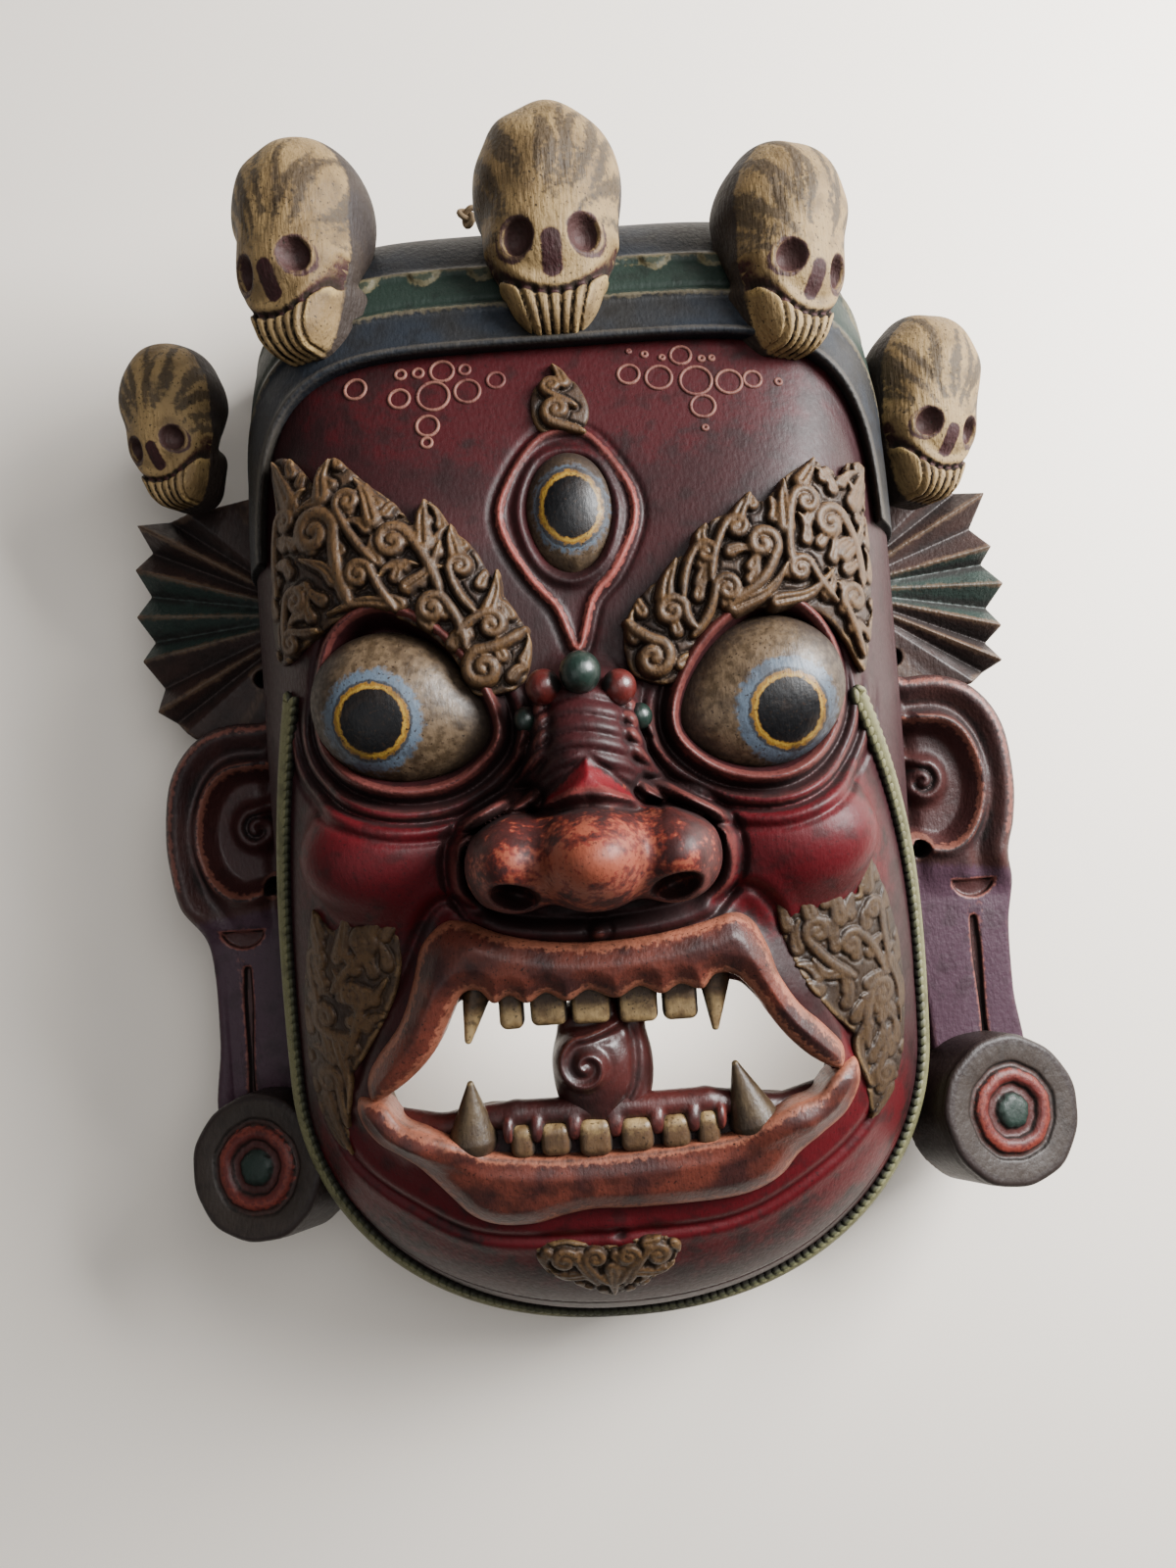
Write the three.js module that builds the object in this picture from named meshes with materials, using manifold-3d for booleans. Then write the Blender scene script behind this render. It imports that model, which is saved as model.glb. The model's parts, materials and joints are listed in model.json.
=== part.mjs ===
// A carved wooden dance mask of a wrathful, three-eyed protector: one hollow block of wood with a crown of
// five skulls, pleated fans, ears with disc earrings, an open fanged mouth, and the knot of its hanging cord.
// Millimetres. The mask lies on its back rim: +Z comes out of the face, +Y is towards the crown, +X is the
// right-hand side as one looks at the face. The carving is laid out about the nose line, and the last lines
// move it so that the origin is under the middle of the mask, on the surface that the rim rests on.
import * as THREE from "three";
import { mergeVertices } from "three/addons/utils/BufferGeometryUtils.js";
import Module from "manifold-3d";

const wasm = await Module();
wasm.setup();

// ---- Driving dimensions -------------------------------------------------------------------------------
// The block: an oval jaw below and a square-shouldered crown above, about the middle of the jaw.
const BLOCK = { y: -88, halfWidth: 110, drop: 93, rise: 268, jawPower: 2.1, crownPower: 5.5 };
const DOME = { height: 110, heightAt: 30, bend: 0.0008, edgePower: 3.6 };
const ROUNDNESS = { side: 2.4, chin: 3, crown: 7 }; // a higher number makes a squarer shoulder
const WALL = { side: 12, front: 17 };
const BAND = { raise: 5, foot: 74, halfWidth: 95, middle: 20, halfHeight: 109, power: 5 };
const BRAID = { radius: 3.2, sink: 1, halfWidth: 102, drop: 88, top: 24, links: 34 };
const NOSE = { y: -18, bridge: 18, width: 29, height: 158, wing: 22 };
const MOUTH = { top: -60, bottom: -97 };
const DISC = { radius: 23.5, back: 26, front: 58 };
const EAR = { back: 18, front: 42 };
const FAN = { back: 20, valley: 32, ridge: 40 };
const TIE_HOLE = 2.7; // radius
const MARGIN = 1; // how far a cutting solid reaches past what it cuts
const SMALLEST = 0.5; // facets that bend less than this are merged

// Relief that differs from side to side, because the mask was carved by eye: left first, then right.
const EYES = [
  { at: [-51, 24], half: [23, 18.5], turn: -8 },
  { at: [48, 21], half: [23.5, 19.5], turn: 6 },
];
const CHEEKS = [[-61, -15], [60, -19]];
const BROWS = [
  {
    lower: [[-18, 30], [-29, 27], [-34, 38], [-43, 45], [-55, 52], [-67, 52], [-78, 47], [-90, 44]],
    upper: [[-13, 40], [-17, 49], [-25, 65], [-40, 83], [-45, 80], [-67, 98], [-70, 94], [-84, 103]],
    curls: [[-73, 77, 8], [-50, 71, 6], [-60, 61, 5], [-26, 35, 7], [-31, 60, 4], [-80, 59, 5]],
  },
  {
    lower: [[16, 30], [28, 27], [33, 38], [42, 44], [55, 47], [68, 45], [76, 41], [84, 32]],
    upper: [[13, 42], [17, 52], [29, 60], [38, 70], [50, 77], [58, 79], [70, 88], [86, 90]],
    curls: [[67, 75, 6], [74, 68, 7], [53, 62, 6], [21, 34, 6], [26, 46, 5], [80, 49, 5]],
  },
];
const SKULLS = [
  { at: [0, 169, 88], size: 1, aim: [0, 0.1, 1], roll: 0 },
  { at: [-74, 166, 90], size: 0.95, aim: [-0.5, 0.12, 1], roll: 4 },
  { at: [68, 157, 90], size: 0.88, aim: [0.6, 0.05, 1], roll: -8 },
  { at: [-128, 129, 51], size: 0.76, aim: [-0.35, 0, 1], roll: 6 },
  { at: [119, 117, 52], size: 0.86, aim: [0.45, 0, 1], roll: -8 },
];
const EARS = [
  { side: -1, rim: 147, strap: [111, 133] },
  { side: 1, rim: 147, strap: [117, 142] },
];
const DISCS = [[-117, -117], [129, -116]];
const FANS = [{ hub: [-104, 66], reach: -150 }, { hub: [104, 60], reach: 146 }];
const TIE_HOLES = [[-109, 44], [-107, -27], [108, 36], [109, -30]];
const UPPER_TEETH = [[-26.5, 5], [-16, 9.5], [-4, 10], [10.4, 10.6], [21.8, 8.4]]; // middle, width
const LOWER_TEETH = [[-25, 6.2], [-16, 9], [-4.2, 9], [7.6, 9.5], [19, 8.4], [27.5, 5.6]];
const FANGS = [
  { root: [-37, -55], tip: [-39.5, -70.5], radius: 4.2 },
  { root: [32, -56], tip: [31.5, -72.5], radius: 4.4 },
  { root: [-39, -99], tip: [-39.5, -80.5], radius: 5.2 },
  { root: [38, -99], tip: [34.5, -84.5], radius: 5.6 },
];
const KNOT = { at: [-26, 190, 50], half: [4.2, 4.6, 4.2] };

// ---- Joining and cutting ------------------------------------------------------------------------------
function solid(geometry) {
  const bare = geometry.clone();
  for (const name of ["normal", "uv"]) bare.deleteAttribute(name);
  const merged = mergeVertices(bare, 1e-4);
  const mesh = new wasm.Mesh({
    numProp: 3,
    vertProperties: merged.attributes.position.array,
    triVerts: new Uint32Array(merged.index.array),
  });
  return new wasm.Manifold(mesh);
}

function solidOfPoints(positions) {
  const geometry = new THREE.BufferGeometry();
  geometry.setAttribute("position", new THREE.Float32BufferAttribute(positions, 3));
  return solid(geometry);
}

function meshOf(name, manifold, color, roughness) {
  const found = manifold.getMesh();
  const geometry = new THREE.BufferGeometry();
  geometry.setAttribute("position", new THREE.BufferAttribute(new Float32Array(found.vertProperties), 3));
  geometry.setIndex(new THREE.BufferAttribute(new Uint32Array(found.triVerts), 1));
  const faceted = geometry.toNonIndexed();
  faceted.computeVertexNormals();
  const mesh = new THREE.Mesh(faceted, new THREE.MeshStandardMaterial({ color, roughness, metalness: 0 }));
  mesh.name = name;
  return mesh;
}

const join = (solids) => solids.reduce((whole, next) => whole.add(next));

// ---- The smooth block ---------------------------------------------------------------------------------
// The outline of the block at its back rim, as a point for a turn angle about the middle of the jaw.
function outline(angle, inset = 0) {
  const power = Math.sin(angle) < 0 ? BLOCK.jawPower : BLOCK.crownPower;
  const reach = (value) => Math.sign(value) * Math.abs(value) ** (2 / power);
  const height = (Math.sin(angle) < 0 ? BLOCK.drop : BLOCK.rise) - inset;
  return [(BLOCK.halfWidth - inset) * reach(Math.cos(angle)), BLOCK.y + height * reach(Math.sin(angle))];
}

// The height of the face over the rim before any feature is carved: a dome with shoulders of its own
// roundness at the sides, chin and crown, over a spine that bows from crown to chin.
function domeHeight(x, y) {
  const upper = y > BLOCK.y;
  const power = upper ? BLOCK.crownPower : BLOCK.jawPower;
  const across = Math.abs(x / BLOCK.halfWidth) ** power;
  const along = Math.abs((y - BLOCK.y) / (upper ? BLOCK.rise : BLOCK.drop)) ** power;
  const outness = Math.min(1, (across + along) ** (1 / power));
  const end = upper ? ROUNDNESS.crown : ROUNDNESS.chin;
  const roundness = ROUNDNESS.side + (end - ROUNDNESS.side) * (along / (across + along + 1e-9));
  const spine = DOME.height - DOME.bend * (y - DOME.heightAt) ** 2;
  return spine * (1 - outness ** DOME.edgePower) ** (1 / roundness);
}

// A closed dome over the outline: rings that shrink towards the middle of the jaw, over a flat floor. It can
// be shrunk by an inset at the sides and a drop at the front, to hollow the block, or raised, for the band.
function dome({ inset = 0, drop = 0, raise = 0, floor = 0, sectors = 48, rings = 9 }) {
  const positions = [];
  const push = (...points) => points.forEach((point) => positions.push(...point));
  const at = (ring, sector) => {
    const share = Math.sin((ring / rings) * (Math.PI / 2)) ** 0.8;
    const angle = (sector / sectors) * 2 * Math.PI;
    const shrink = ([x, y]) => [x * share, BLOCK.y + (y - BLOCK.y) * share];
    const height = ring < rings ? domeHeight(...shrink(outline(angle))) * (1 - drop / DOME.height) + raise : 0;
    return [...shrink(outline(angle, inset)), height];
  };
  for (let sector = 0; sector < sectors; sector++) {
    push(at(0, 0), at(1, sector), at(1, sector + 1));
    for (let ring = 1; ring < rings; ring++) {
      const [a, b] = [at(ring, sector), at(ring, sector + 1)];
      const [c, d] = [at(ring + 1, sector + 1), at(ring + 1, sector)];
      push(a, d, c, a, c, b);
    }
    const [a, b] = [at(rings, sector), at(rings, sector + 1)];
    const [c, d] = [[b[0], b[1], floor], [a[0], a[1], floor]];
    if (floor !== 0) push(a, d, c, a, c, b);
    push([0, BLOCK.y, floor], c, d);
  }
  return solidOfPoints(positions);
}

// ---- Shapes -------------------------------------------------------------------------------------------
// A strip between two rows of points, from bottom(x, y) up to top(x, y, share across, index along).
function strip(rowA, rowB, top, bottom, across = 2) {
  const positions = [];
  const push = (...points) => points.forEach((point) => positions.push(...point));
  const quad = (a, b, c, d) => push(a, b, c, a, c, d);
  const place = (i, j) => [0, 1].map((axis) => rowA[i][axis] + ((rowB[i][axis] - rowA[i][axis]) * j) / across);
  const high = (i, j) => [...place(i, j), top(...place(i, j), j / across, i)];
  const low = (i, j) => [...place(i, j), bottom(...place(i, j))];
  const last = rowA.length - 1;
  for (let i = 0; i < last; i++) {
    for (let j = 0; j < across; j++) {
      quad(high(i, j), high(i, j + 1), high(i + 1, j + 1), high(i + 1, j));
      quad(low(i, j), low(i + 1, j), low(i + 1, j + 1), low(i, j + 1));
    }
    quad(high(i, 0), high(i + 1, 0), low(i + 1, 0), low(i, 0));
    quad(high(i, across), low(i, across), low(i + 1, across), high(i + 1, across));
  }
  for (let j = 0; j < across; j++) {
    quad(high(0, j), low(0, j), low(0, j + 1), high(0, j + 1));
    quad(high(last, j), high(last, j + 1), low(last, j + 1), low(last, j));
  }
  const made = solidOfPoints(positions);
  if (made.volume() > 0) return made;
  return solidOfPoints(positions.map((value, index) => (index % 3 === 2 ? -value : value))).mirror([0, 0, 1]);
}

// A ball stretched to three half sizes and turned about +Z, with its middle at a place.
function ball([x, y, z], [halfX, halfY, halfZ], turn = 0, around = 10, down = 6) {
  const geometry = new THREE.SphereGeometry(1, around, down).rotateX(Math.PI / 2).scale(halfX, halfY, halfZ);
  return solid(geometry.rotateZ(THREE.MathUtils.degToRad(turn)).translate(x, y, z));
}

// A round rod, or a cone with a rounded-off tip, from one place to another.
function rod(from, to, radius, endRadius = radius, sides = 8) {
  const [start, end] = [new THREE.Vector3(...from), new THREE.Vector3(...to)];
  const along = end.clone().sub(start);
  const geometry = new THREE.CylinderGeometry(endRadius, radius, along.length(), sides);
  const turn = new THREE.Quaternion().setFromUnitVectors(new THREE.Vector3(0, 1, 0), along.normalize());
  return solid(geometry.applyQuaternion(turn).translate(...start.add(end).multiplyScalar(0.5).toArray()));
}

// A flat outline of points, extruded along +Z between two heights.
function plate(points, from, to, bevel = 0) {
  const shape = new THREE.Shape(points.map(([x, y]) => new THREE.Vector2(x, y)));
  const options = { depth: to - from - 2 * bevel, bevelEnabled: bevel > 0, bevelThickness: bevel };
  Object.assign(options, { bevelSize: bevel, bevelOffset: -bevel, bevelSegments: 1 });
  return solid(new THREE.ExtrudeGeometry(shape, options).translate(0, 0, from + bevel));
}

// A smooth curve through flat points, as a given number of points.
function smooth(points, count, closed = false) {
  const curve = new THREE.CatmullRomCurve3(points.map(([x, y]) => new THREE.Vector3(x, y, 0)), closed);
  const found = curve.getPoints(closed ? count : count - 1);
  return (closed ? found.slice(0, -1) : found).map((point) => [point.x, point.y]);
}

// The two edges of a ribbon that follows a path, half as wide to each side as width(share along) says.
function ribbonEdges(path, width) {
  const edges = [[], []];
  path.forEach(([x, y], i) => {
    const [before, after] = [path[Math.max(0, i - 1)], path[Math.min(path.length - 1, i + 1)]];
    const [dx, dy] = [after[0] - before[0], after[1] - before[1]];
    const reach = width(i / (path.length - 1)) / 2 / Math.hypot(dx, dy);
    edges[0].push([x - dy * reach, y + dx * reach]);
    edges[1].push([x + dy * reach, y - dx * reach]);
  });
  return edges;
}

// ---- Relief on the block ------------------------------------------------------------------------------
const under = (depth) => (x, y) => Math.max(MARGIN, domeHeight(x, y) - depth);
const swell = (base, rise) => (x, y, share) => domeHeight(x, y) + base + rise * Math.sin(Math.PI * share);

// The dark band that carries the skulls, along the edge of the crown and down to the temples.
function crownBand() {
  const steps = 24;
  const inner = [];
  for (let i = 0; i <= steps; i++) {
    const angle = (Math.PI * i) / steps;
    const reach = (value) => Math.sign(value) * Math.abs(value) ** (2 / BAND.power);
    const y = BAND.middle + BAND.halfHeight * reach(Math.sin(angle));
    inner.push([BAND.halfWidth * reach(Math.cos(angle)), Math.max(BAND.foot, y)]);
  }
  const far = BLOCK.rise;
  const frame = [[-far, BAND.foot], [-far, far], [far, far], [far, BAND.foot]];
  const region = plate([...frame, ...inner], 0, DOME.height + 2 * BAND.raise);
  return dome({ raise: BAND.raise }).intersect(region);
}

function brow({ lower, upper, curls }) {
  const rows = [smooth(lower, 11), smooth(upper, 11)];
  const body = strip(...rows, swell(5, 3), under(5), 2);
  const scrolls = curls.map(([x, y, r]) => ball([x, y, domeHeight(x, y) + 6], [r, r, 5], 0, 7, 4));
  return join([body, ...scrolls]);
}

function eye({ at, half, turn }) {
  const height = domeHeight(...at);
  const lids = ball([...at, height - 2], [half[0] + 3, half[1] + 3, 9], turn, 12, 6);
  return lids.add(ball([...at, height - 4], [...half, 18], turn, 14, 8));
}

function thirdEye() {
  const height = domeHeight(0, 76);
  const lids = plate(smooth([[0, 38], [12, 56], [19, 77], [12, 94], [0, 101], [-12, 94], [-19, 77], [-12, 56]],
    17, true), height - 12, height + 2, 1);
  return lids.add(ball([0, 77, height - 4], [12, 17.5, 10], 0, 10, 6));
}

function nose() {
  const { y, bridge, width, height, wing } = NOSE;
  const tip = ball([0, y, height - 36], [width, 15.5, 36], 0, 12, 8);
  const ridge = ball([0, y + 25, 107], [bridge, 28, 29], 0, 12, 8);
  const wings = [-1, 1].map((side) => ball([side * wing, y, 113], [12, 13.5, 30], side * 20, 8, 6));
  const holes = [-1, 1].map((side) => ball([side * 18.5, y - 12, 138], [6, 3.6, 9], side * 24, 8, 5));
  const pearls = [[0, 30, 5.2], [-10, 26, 4.6], [10, 24, 4.6], [-16, 19, 3.4], [16, 17, 3.4]];
  const beads = pearls.map(([x, up, r]) => ball([x, up, 129 - x * x / 22], [r, r, r], 0, 8, 4));
  return join([tip, ridge, ...wings]).subtract(join(holes)).add(join(beads));
}

// Both lips are ribbons: the upper one climbs steeply from the corners to square shoulders by the fangs.
function lips() {
  const upperPath = [[-69, -87], [-57, -72], [-46, -58], [-40, -45], [-26, -50], [0, -53], [26, -49],
    [39, -45], [46, -58], [54, -71], [67, -86]];
  const lowerPath = [[-70, -88], [-62, -97], [-48, -106], [-38, -115], [-20, -114], [0, -115], [22, -113],
    [40, -112], [51, -103], [64, -97], [68, -87]];
  const bulge = (share) => 6 + 6 * Math.sin(Math.PI * share);
  const make = (path, rise) => strip(...ribbonEdges(smooth(path, 14), bulge), swell(rise, 5), under(5), 2);
  return make(upperPath, 6).add(make(lowerPath, 4));
}

function mouthOpening() {
  const { top, bottom } = MOUTH;
  const corners = [[-66, -88], [-52, -74], [-43, top], [40, top], [47, -70], [60, -83], [66, -93], [58, bottom],
    [46, bottom - 2], [36, bottom], [-36, bottom], [-52, bottom - 2], [-62, bottom]];
  return plate(corners, 10, DOME.height + 30);
}

function teeth() {
  const row = (list, from, to, height) => list.map(([x, width]) => {
    const [low, high] = [Math.min(from, to), Math.max(from, to)];
    const half = width / 2 - 0.3;
    return plate([[x - half, low], [x + half, low], [x + half, high], [x - half, high]], height - 12, height);
  });
  const upper = row(UPPER_TEETH, MOUTH.top + 6, MOUTH.top - 8.5, 104);
  const lower = row(LOWER_TEETH, MOUTH.bottom - 7, MOUTH.bottom + 4, 99);
  const fangs = FANGS.map(({ root, tip, radius }) => rod([...root, 98], [...tip, 103], radius, 1.2, 8));
  return [...upper, ...lower, ...fangs];
}

function tongue() {
  return [ball([-1, -85, 93], [14.5, 17, 9], 0, 14, 8), ball([-7, -80, 98], [8.5, 8, 7], 0, 10, 6)];
}

// Flame-shaped locks of beard beside the mouth, and the tuft of scrolls on the chin.
function beard() {
  const locks = [-1, 1].map((side) => {
    const inner = [[62, -30], [63, -48], [66, -62], [74, -78], [80, -94], [78, -104]];
    const outer = [[72, -26], [84, -36], [92, -56], [94, -78], [92, -98], [82, -106]];
    const rows = [inner, outer].map((row) => smooth(row, 9).map(([x, y]) => [side * x, y]));
    return strip(...rows, swell(4, 3), under(5), 2);
  });
  const tuft = [[-13, -142, 6], [-4, -143, 6], [6, -143, 6], [14, -142, 6], [0, -153, 7]];
  const scrolls = tuft.map(([x, y, r]) => ball([x, y, domeHeight(x, y) + 1], [r, r, 5], 0, 7, 4));
  return [...locks, ...scrolls];
}

// The braided border: a bead that runs from one temple round the jaw to the other.
function braid() {
  const { radius, sink, halfWidth, drop, top, links } = BRAID;
  const path = [];
  for (let i = 0; i <= links; i++) {
    const run = (i / links) * 2 - 1; // -1 at the left temple, 1 at the right one
    const straight = 0.42; // the part of each half that follows the cheek
    if (Math.abs(run) > 1 - straight) {
      const share = (Math.abs(run) - 1 + straight) / straight;
      path.push([Math.sign(run) * (halfWidth - 14 * share ** 2), BLOCK.y + (top - BLOCK.y) * share]);
    } else {
      const angle = (run / (1 - straight)) * (Math.PI / 2);
      path.push([halfWidth * Math.sin(angle), BLOCK.y - drop * Math.cos(angle)]);
    }
  }
  const round = (x, y, share) => domeHeight(x, y) - sink + radius * 1.6 * Math.sin(Math.PI * share);
  return strip(...ribbonEdges(path, () => radius * 2), round, under(6), 2);
}

// ---- What stands round the block ----------------------------------------------------------------------
// A skull with its face to +Z and its crown to +Y, turned to where it looks.
function skull({ at, size, aim, roll }) {
  const cranium = ball([0, 8, -3], [22, 26, 23], 0, 10, 7);
  const face = ball([0, -9, 3], [19, 17, 15], 0, 8, 5);
  const jaw = plate([[-16, -14], [-13.5, -35], [-9, -38], [9, -38], [13.5, -35], [16, -14]], -14, 10);
  const sockets = [-1, 1].map((side) => ball([side * 10.2, -11, 19], [6, 6.4, 7], 0, 7, 4));
  const nostril = plate([[-2.8, -24], [2.8, -24], [1, -13], [-1, -13]], 13, 30);
  const whole = join([cranium, face, jaw]).subtract(join([...sockets, nostril]));
  const look = new THREE.Matrix4().lookAt(new THREE.Vector3(...aim), new THREE.Vector3(), new THREE.Vector3(0, 1, 0));
  const spin = new THREE.Matrix4().makeRotationZ(THREE.MathUtils.degToRad(roll));
  const grow = new THREE.Matrix4().makeScale(size, size, size);
  const place = new THREE.Matrix4().makeTranslation(...at).multiply(look).multiply(spin).multiply(grow);
  const [x, y, z] = at;
  const stem = rod([x, y, z - 8 * size], [x * 0.78, y - 8, z * 0.6], 15 * size, 17 * size, 6);
  return whole.transform(place.elements).add(stem);
}

function ear({ side, rim, strap }) {
  const flip = (points) => points.map(([x, y]) => [side * x, y]);
  const back = 104;
  const shell = flip(smooth([[back, 26], [122, 28], [136, 24], [rim - 3, 10], [rim, -8], [rim - 3, -24],
    [rim - 11, -37], [strap[0], -48], [back, -40]], 14, true));
  const [near, far] = strap;
  const lobe = flip([[near, -20], [far - 8, -30], [far, -45], [far - 2, -100], [near, -104]]);
  const groove = ribbonEdges(flip(smooth([[112, 12], [124, 13], [132, 2], [134, -11], [129, -25], [117, -30]],
    9)), () => 5);
  const cut = strip(...groove, () => EAR.front + MARGIN, () => EAR.front - 5, 1);
  return plate(shell, EAR.back, EAR.front, 3).subtract(cut).add(plate(lobe, EAR.back, EAR.front - 4, 2));
}

function disc([x, y]) {
  const { radius, back, front } = DISC;
  const profile = [[0, back], [radius, back], [radius, front - 2], [radius - 2, front], [radius * 0.68, front],
    [radius * 0.62, front - 3], [radius * 0.5, front], [radius * 0.34, front - 4], [0, front + 1.5]];
  const geometry = new THREE.LatheGeometry(profile.map(([r, z]) => new THREE.Vector2(r, z)), 18);
  return solid(geometry.rotateX(Math.PI / 2).translate(x, y, 0));
}

// A fan of pleats that spreads outwards from its hub, with ridges and valleys by turns.
function fan({ hub: [hubX, hubY], reach }) {
  const folds = 4;
  const [near, far] = [[], []];
  for (let i = 0; i <= 2 * folds; i++) {
    const share = i / (2 * folds) - 0.5;
    const indent = i % 2 ? 6 : 0;
    near.push([hubX, hubY + 44 * share]);
    far.push([reach - Math.sign(reach) * (indent + 10 * share ** 2), hubY + 2 + 66 * share]);
  }
  const height = (x, y, share, index) => (index % 2 ? FAN.valley : FAN.ridge);
  return strip(near, far, height, () => FAN.back, 1);
}

// ---- The whole mask -----------------------------------------------------------------------------------
const hollow = dome({ inset: WALL.side, drop: WALL.front, floor: -MARGIN, sectors: 32, rings: 6 });
const ties = TIE_HOLES.map(([x, y]) => rod([x, y, 70], [x - Math.sign(x) * 12, y, 22], TIE_HOLE));
const face = join([dome({}), crownBand(), ...BROWS.map(brow), ...EYES.map(eye), thirdEye(), nose(), lips(),
  ...CHEEKS.map(([x, y]) => ball([x, y, domeHeight(x, y) - 2], [21, 18, 13], 0, 10, 6)), ...beard(), braid()]);
const around = [...SKULLS.map(skull), ...EARS.map(ear), ...DISCS.map(disc), ...FANS.map(fan)];
const carved = join([face, ...around]).subtract(hollow).subtract(mouthOpening()).subtract(join(ties));
const mask = join([carved, ...teeth(), ...tongue()]).simplify(SMALLEST);
const knot = ball(KNOT.at, KNOT.half, 0, 8, 5);

// The origin goes under the middle of the mask, where its back rim rests.
const { min, max } = mask.boundingBox();
const centre = [-(min[0] + max[0]) / 2, -(min[1] + max[1]) / 2, -min[2]];
const group = new THREE.Group();
group.add(meshOf("mask", mask.translate(centre), 0x5a1e22, 0.55));
group.add(meshOf("cord_knot", knot.translate(centre), 0x8a7458, 0.9));
export default group;
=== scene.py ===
"""The looks of a carved and painted dance mask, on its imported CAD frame.

The mask is one block of wood. Each part of its carving is cut here from a chunk of solid space by distance
functions in millimetres, measured from the nose line as a carver would lay it out, and painted from the same
functions, so that every colour ends where its carving does.
"""

import json
import logging
import math
from collections.abc import Callable, Sequence
from dataclasses import dataclass, replace
from enum import Enum

import bpy
import numpy as np
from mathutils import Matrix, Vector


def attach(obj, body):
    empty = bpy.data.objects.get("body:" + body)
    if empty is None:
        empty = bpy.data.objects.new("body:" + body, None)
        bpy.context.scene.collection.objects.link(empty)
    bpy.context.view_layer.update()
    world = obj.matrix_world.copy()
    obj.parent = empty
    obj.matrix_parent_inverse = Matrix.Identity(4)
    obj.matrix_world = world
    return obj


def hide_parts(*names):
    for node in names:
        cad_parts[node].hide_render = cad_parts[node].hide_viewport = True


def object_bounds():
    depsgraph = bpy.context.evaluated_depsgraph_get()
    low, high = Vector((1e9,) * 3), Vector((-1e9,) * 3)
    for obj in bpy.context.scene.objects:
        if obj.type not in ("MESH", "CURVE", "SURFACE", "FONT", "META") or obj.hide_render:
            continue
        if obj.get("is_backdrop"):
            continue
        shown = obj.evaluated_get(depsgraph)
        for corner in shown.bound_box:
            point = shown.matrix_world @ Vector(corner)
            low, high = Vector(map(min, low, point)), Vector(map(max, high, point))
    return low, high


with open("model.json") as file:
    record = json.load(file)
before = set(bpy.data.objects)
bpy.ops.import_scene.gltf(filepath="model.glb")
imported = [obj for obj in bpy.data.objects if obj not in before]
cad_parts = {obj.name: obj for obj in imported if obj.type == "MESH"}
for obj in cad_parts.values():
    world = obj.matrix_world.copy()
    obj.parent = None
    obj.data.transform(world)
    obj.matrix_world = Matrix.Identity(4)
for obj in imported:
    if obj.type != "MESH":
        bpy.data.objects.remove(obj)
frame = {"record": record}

import openvdb
from mathutils import Matrix, Vector
from mathutils.bvhtree import BVHTree

log = logging.getLogger("mask")
Array = np.ndarray
Point = tuple[float, ...]
SEED = 7
MM = 0.001
FAR = 50.0  # a distance that is well outside, in millimetres
CAD_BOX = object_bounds()
RIM_MOUNT = (104.0, -88.0, 0.0)  # where the record's rim mount is, in the carver's millimetres


def carver_shift() -> Array:
    """The row frame's place of the nose line's foot, in millimetres."""
    mount = next(m for m in frame["record"]["mounts"] if m["name"] == "back_rim")
    return np.array(mount["pos_m"]) / MM - np.array(RIM_MOUNT)


SHIFT = carver_shift()

# ---- Flat geometry --------------------------------------------------------------------------------------


def smooth_path(points: Sequence[Point], count: int, closed: bool = False) -> Array:
    """A smooth curve through flat points.

    Args:
        points: The points to pass through.
        count: How many points the curve gets.
        closed: Whether it comes back to its start.

    Returns:
        An array of count points.
    """
    known = np.array(points, dtype=float)
    if closed:
        known = np.vstack([known[-1:], known, known[:2]])
    else:
        known = np.vstack([2 * known[0] - known[1], known, 2 * known[-1] - known[-2]])
    spans = len(known) - 3
    place = np.linspace(0, spans, count, endpoint=not closed)
    index = np.minimum(place.astype(int), spans - 1)
    t = (place - index)[:, None]
    a, b, c, d = (known[index + step] for step in range(4))
    return 0.5 * (2 * b + (c - a) * t + (2 * a - 5 * b + 4 * c - d) * t**2 + (3 * b - a - 3 * c + d) * t**3)


def to_path(x: Array, y: Array, path: Array) -> tuple[Array, Array]:
    """The distance from flat places to a path, and how far along it the nearest point lies.

    Args:
        x: Places across.
        y: Places up.
        path: The path's points.

    Returns:
        The distances, and the lengths along the path.
    """
    best = np.full(np.broadcast(x, y).shape, 1e9)
    along = np.zeros_like(best)
    run = 0.0
    for (ax, ay), (bx, by) in zip(path[:-1], path[1:], strict=True):
        dx, dy = bx - ax, by - ay
        length = math.hypot(dx, dy) + 1e-9
        t = np.clip(((x - ax) * dx + (y - ay) * dy) / length**2, 0, 1)
        away = np.hypot(x - ax - t * dx, y - ay - t * dy)
        along = np.where(away < best, run + t * length, along)
        best = np.minimum(best, away)
        run += length
    return best, along


def to_outline(x: Array, y: Array, outline: Array) -> Array:
    """The distance from flat places to a closed outline, below zero inside it.

    Args:
        x: Places across.
        y: Places up.
        outline: The corners in order.

    Returns:
        The signed distances.
    """
    closed = np.vstack([outline, outline[:1]])
    away, _ = to_path(x, y, closed)
    inside = np.zeros(away.shape, dtype=bool)
    for (ax, ay), (bx, by) in zip(closed[:-1], closed[1:], strict=True):
        if ay != by:
            inside ^= ((ay > y) != (by > y)) & (x < (bx - ax) * (y - ay) / (by - ay) + ax)
    return np.where(inside, -away, away)


def bell(distance: Array, width: float) -> Array:
    """A soft bump of the given width about zero distance."""
    return np.exp(-((distance / width) ** 2))


def ease(value: Array, low: float, high: float) -> Array:
    """Zero below low and one above high, smoothly between."""
    t = np.clip((value - low) / (high - low), 0, 1)
    return t * t * (3 - 2 * t)


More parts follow.
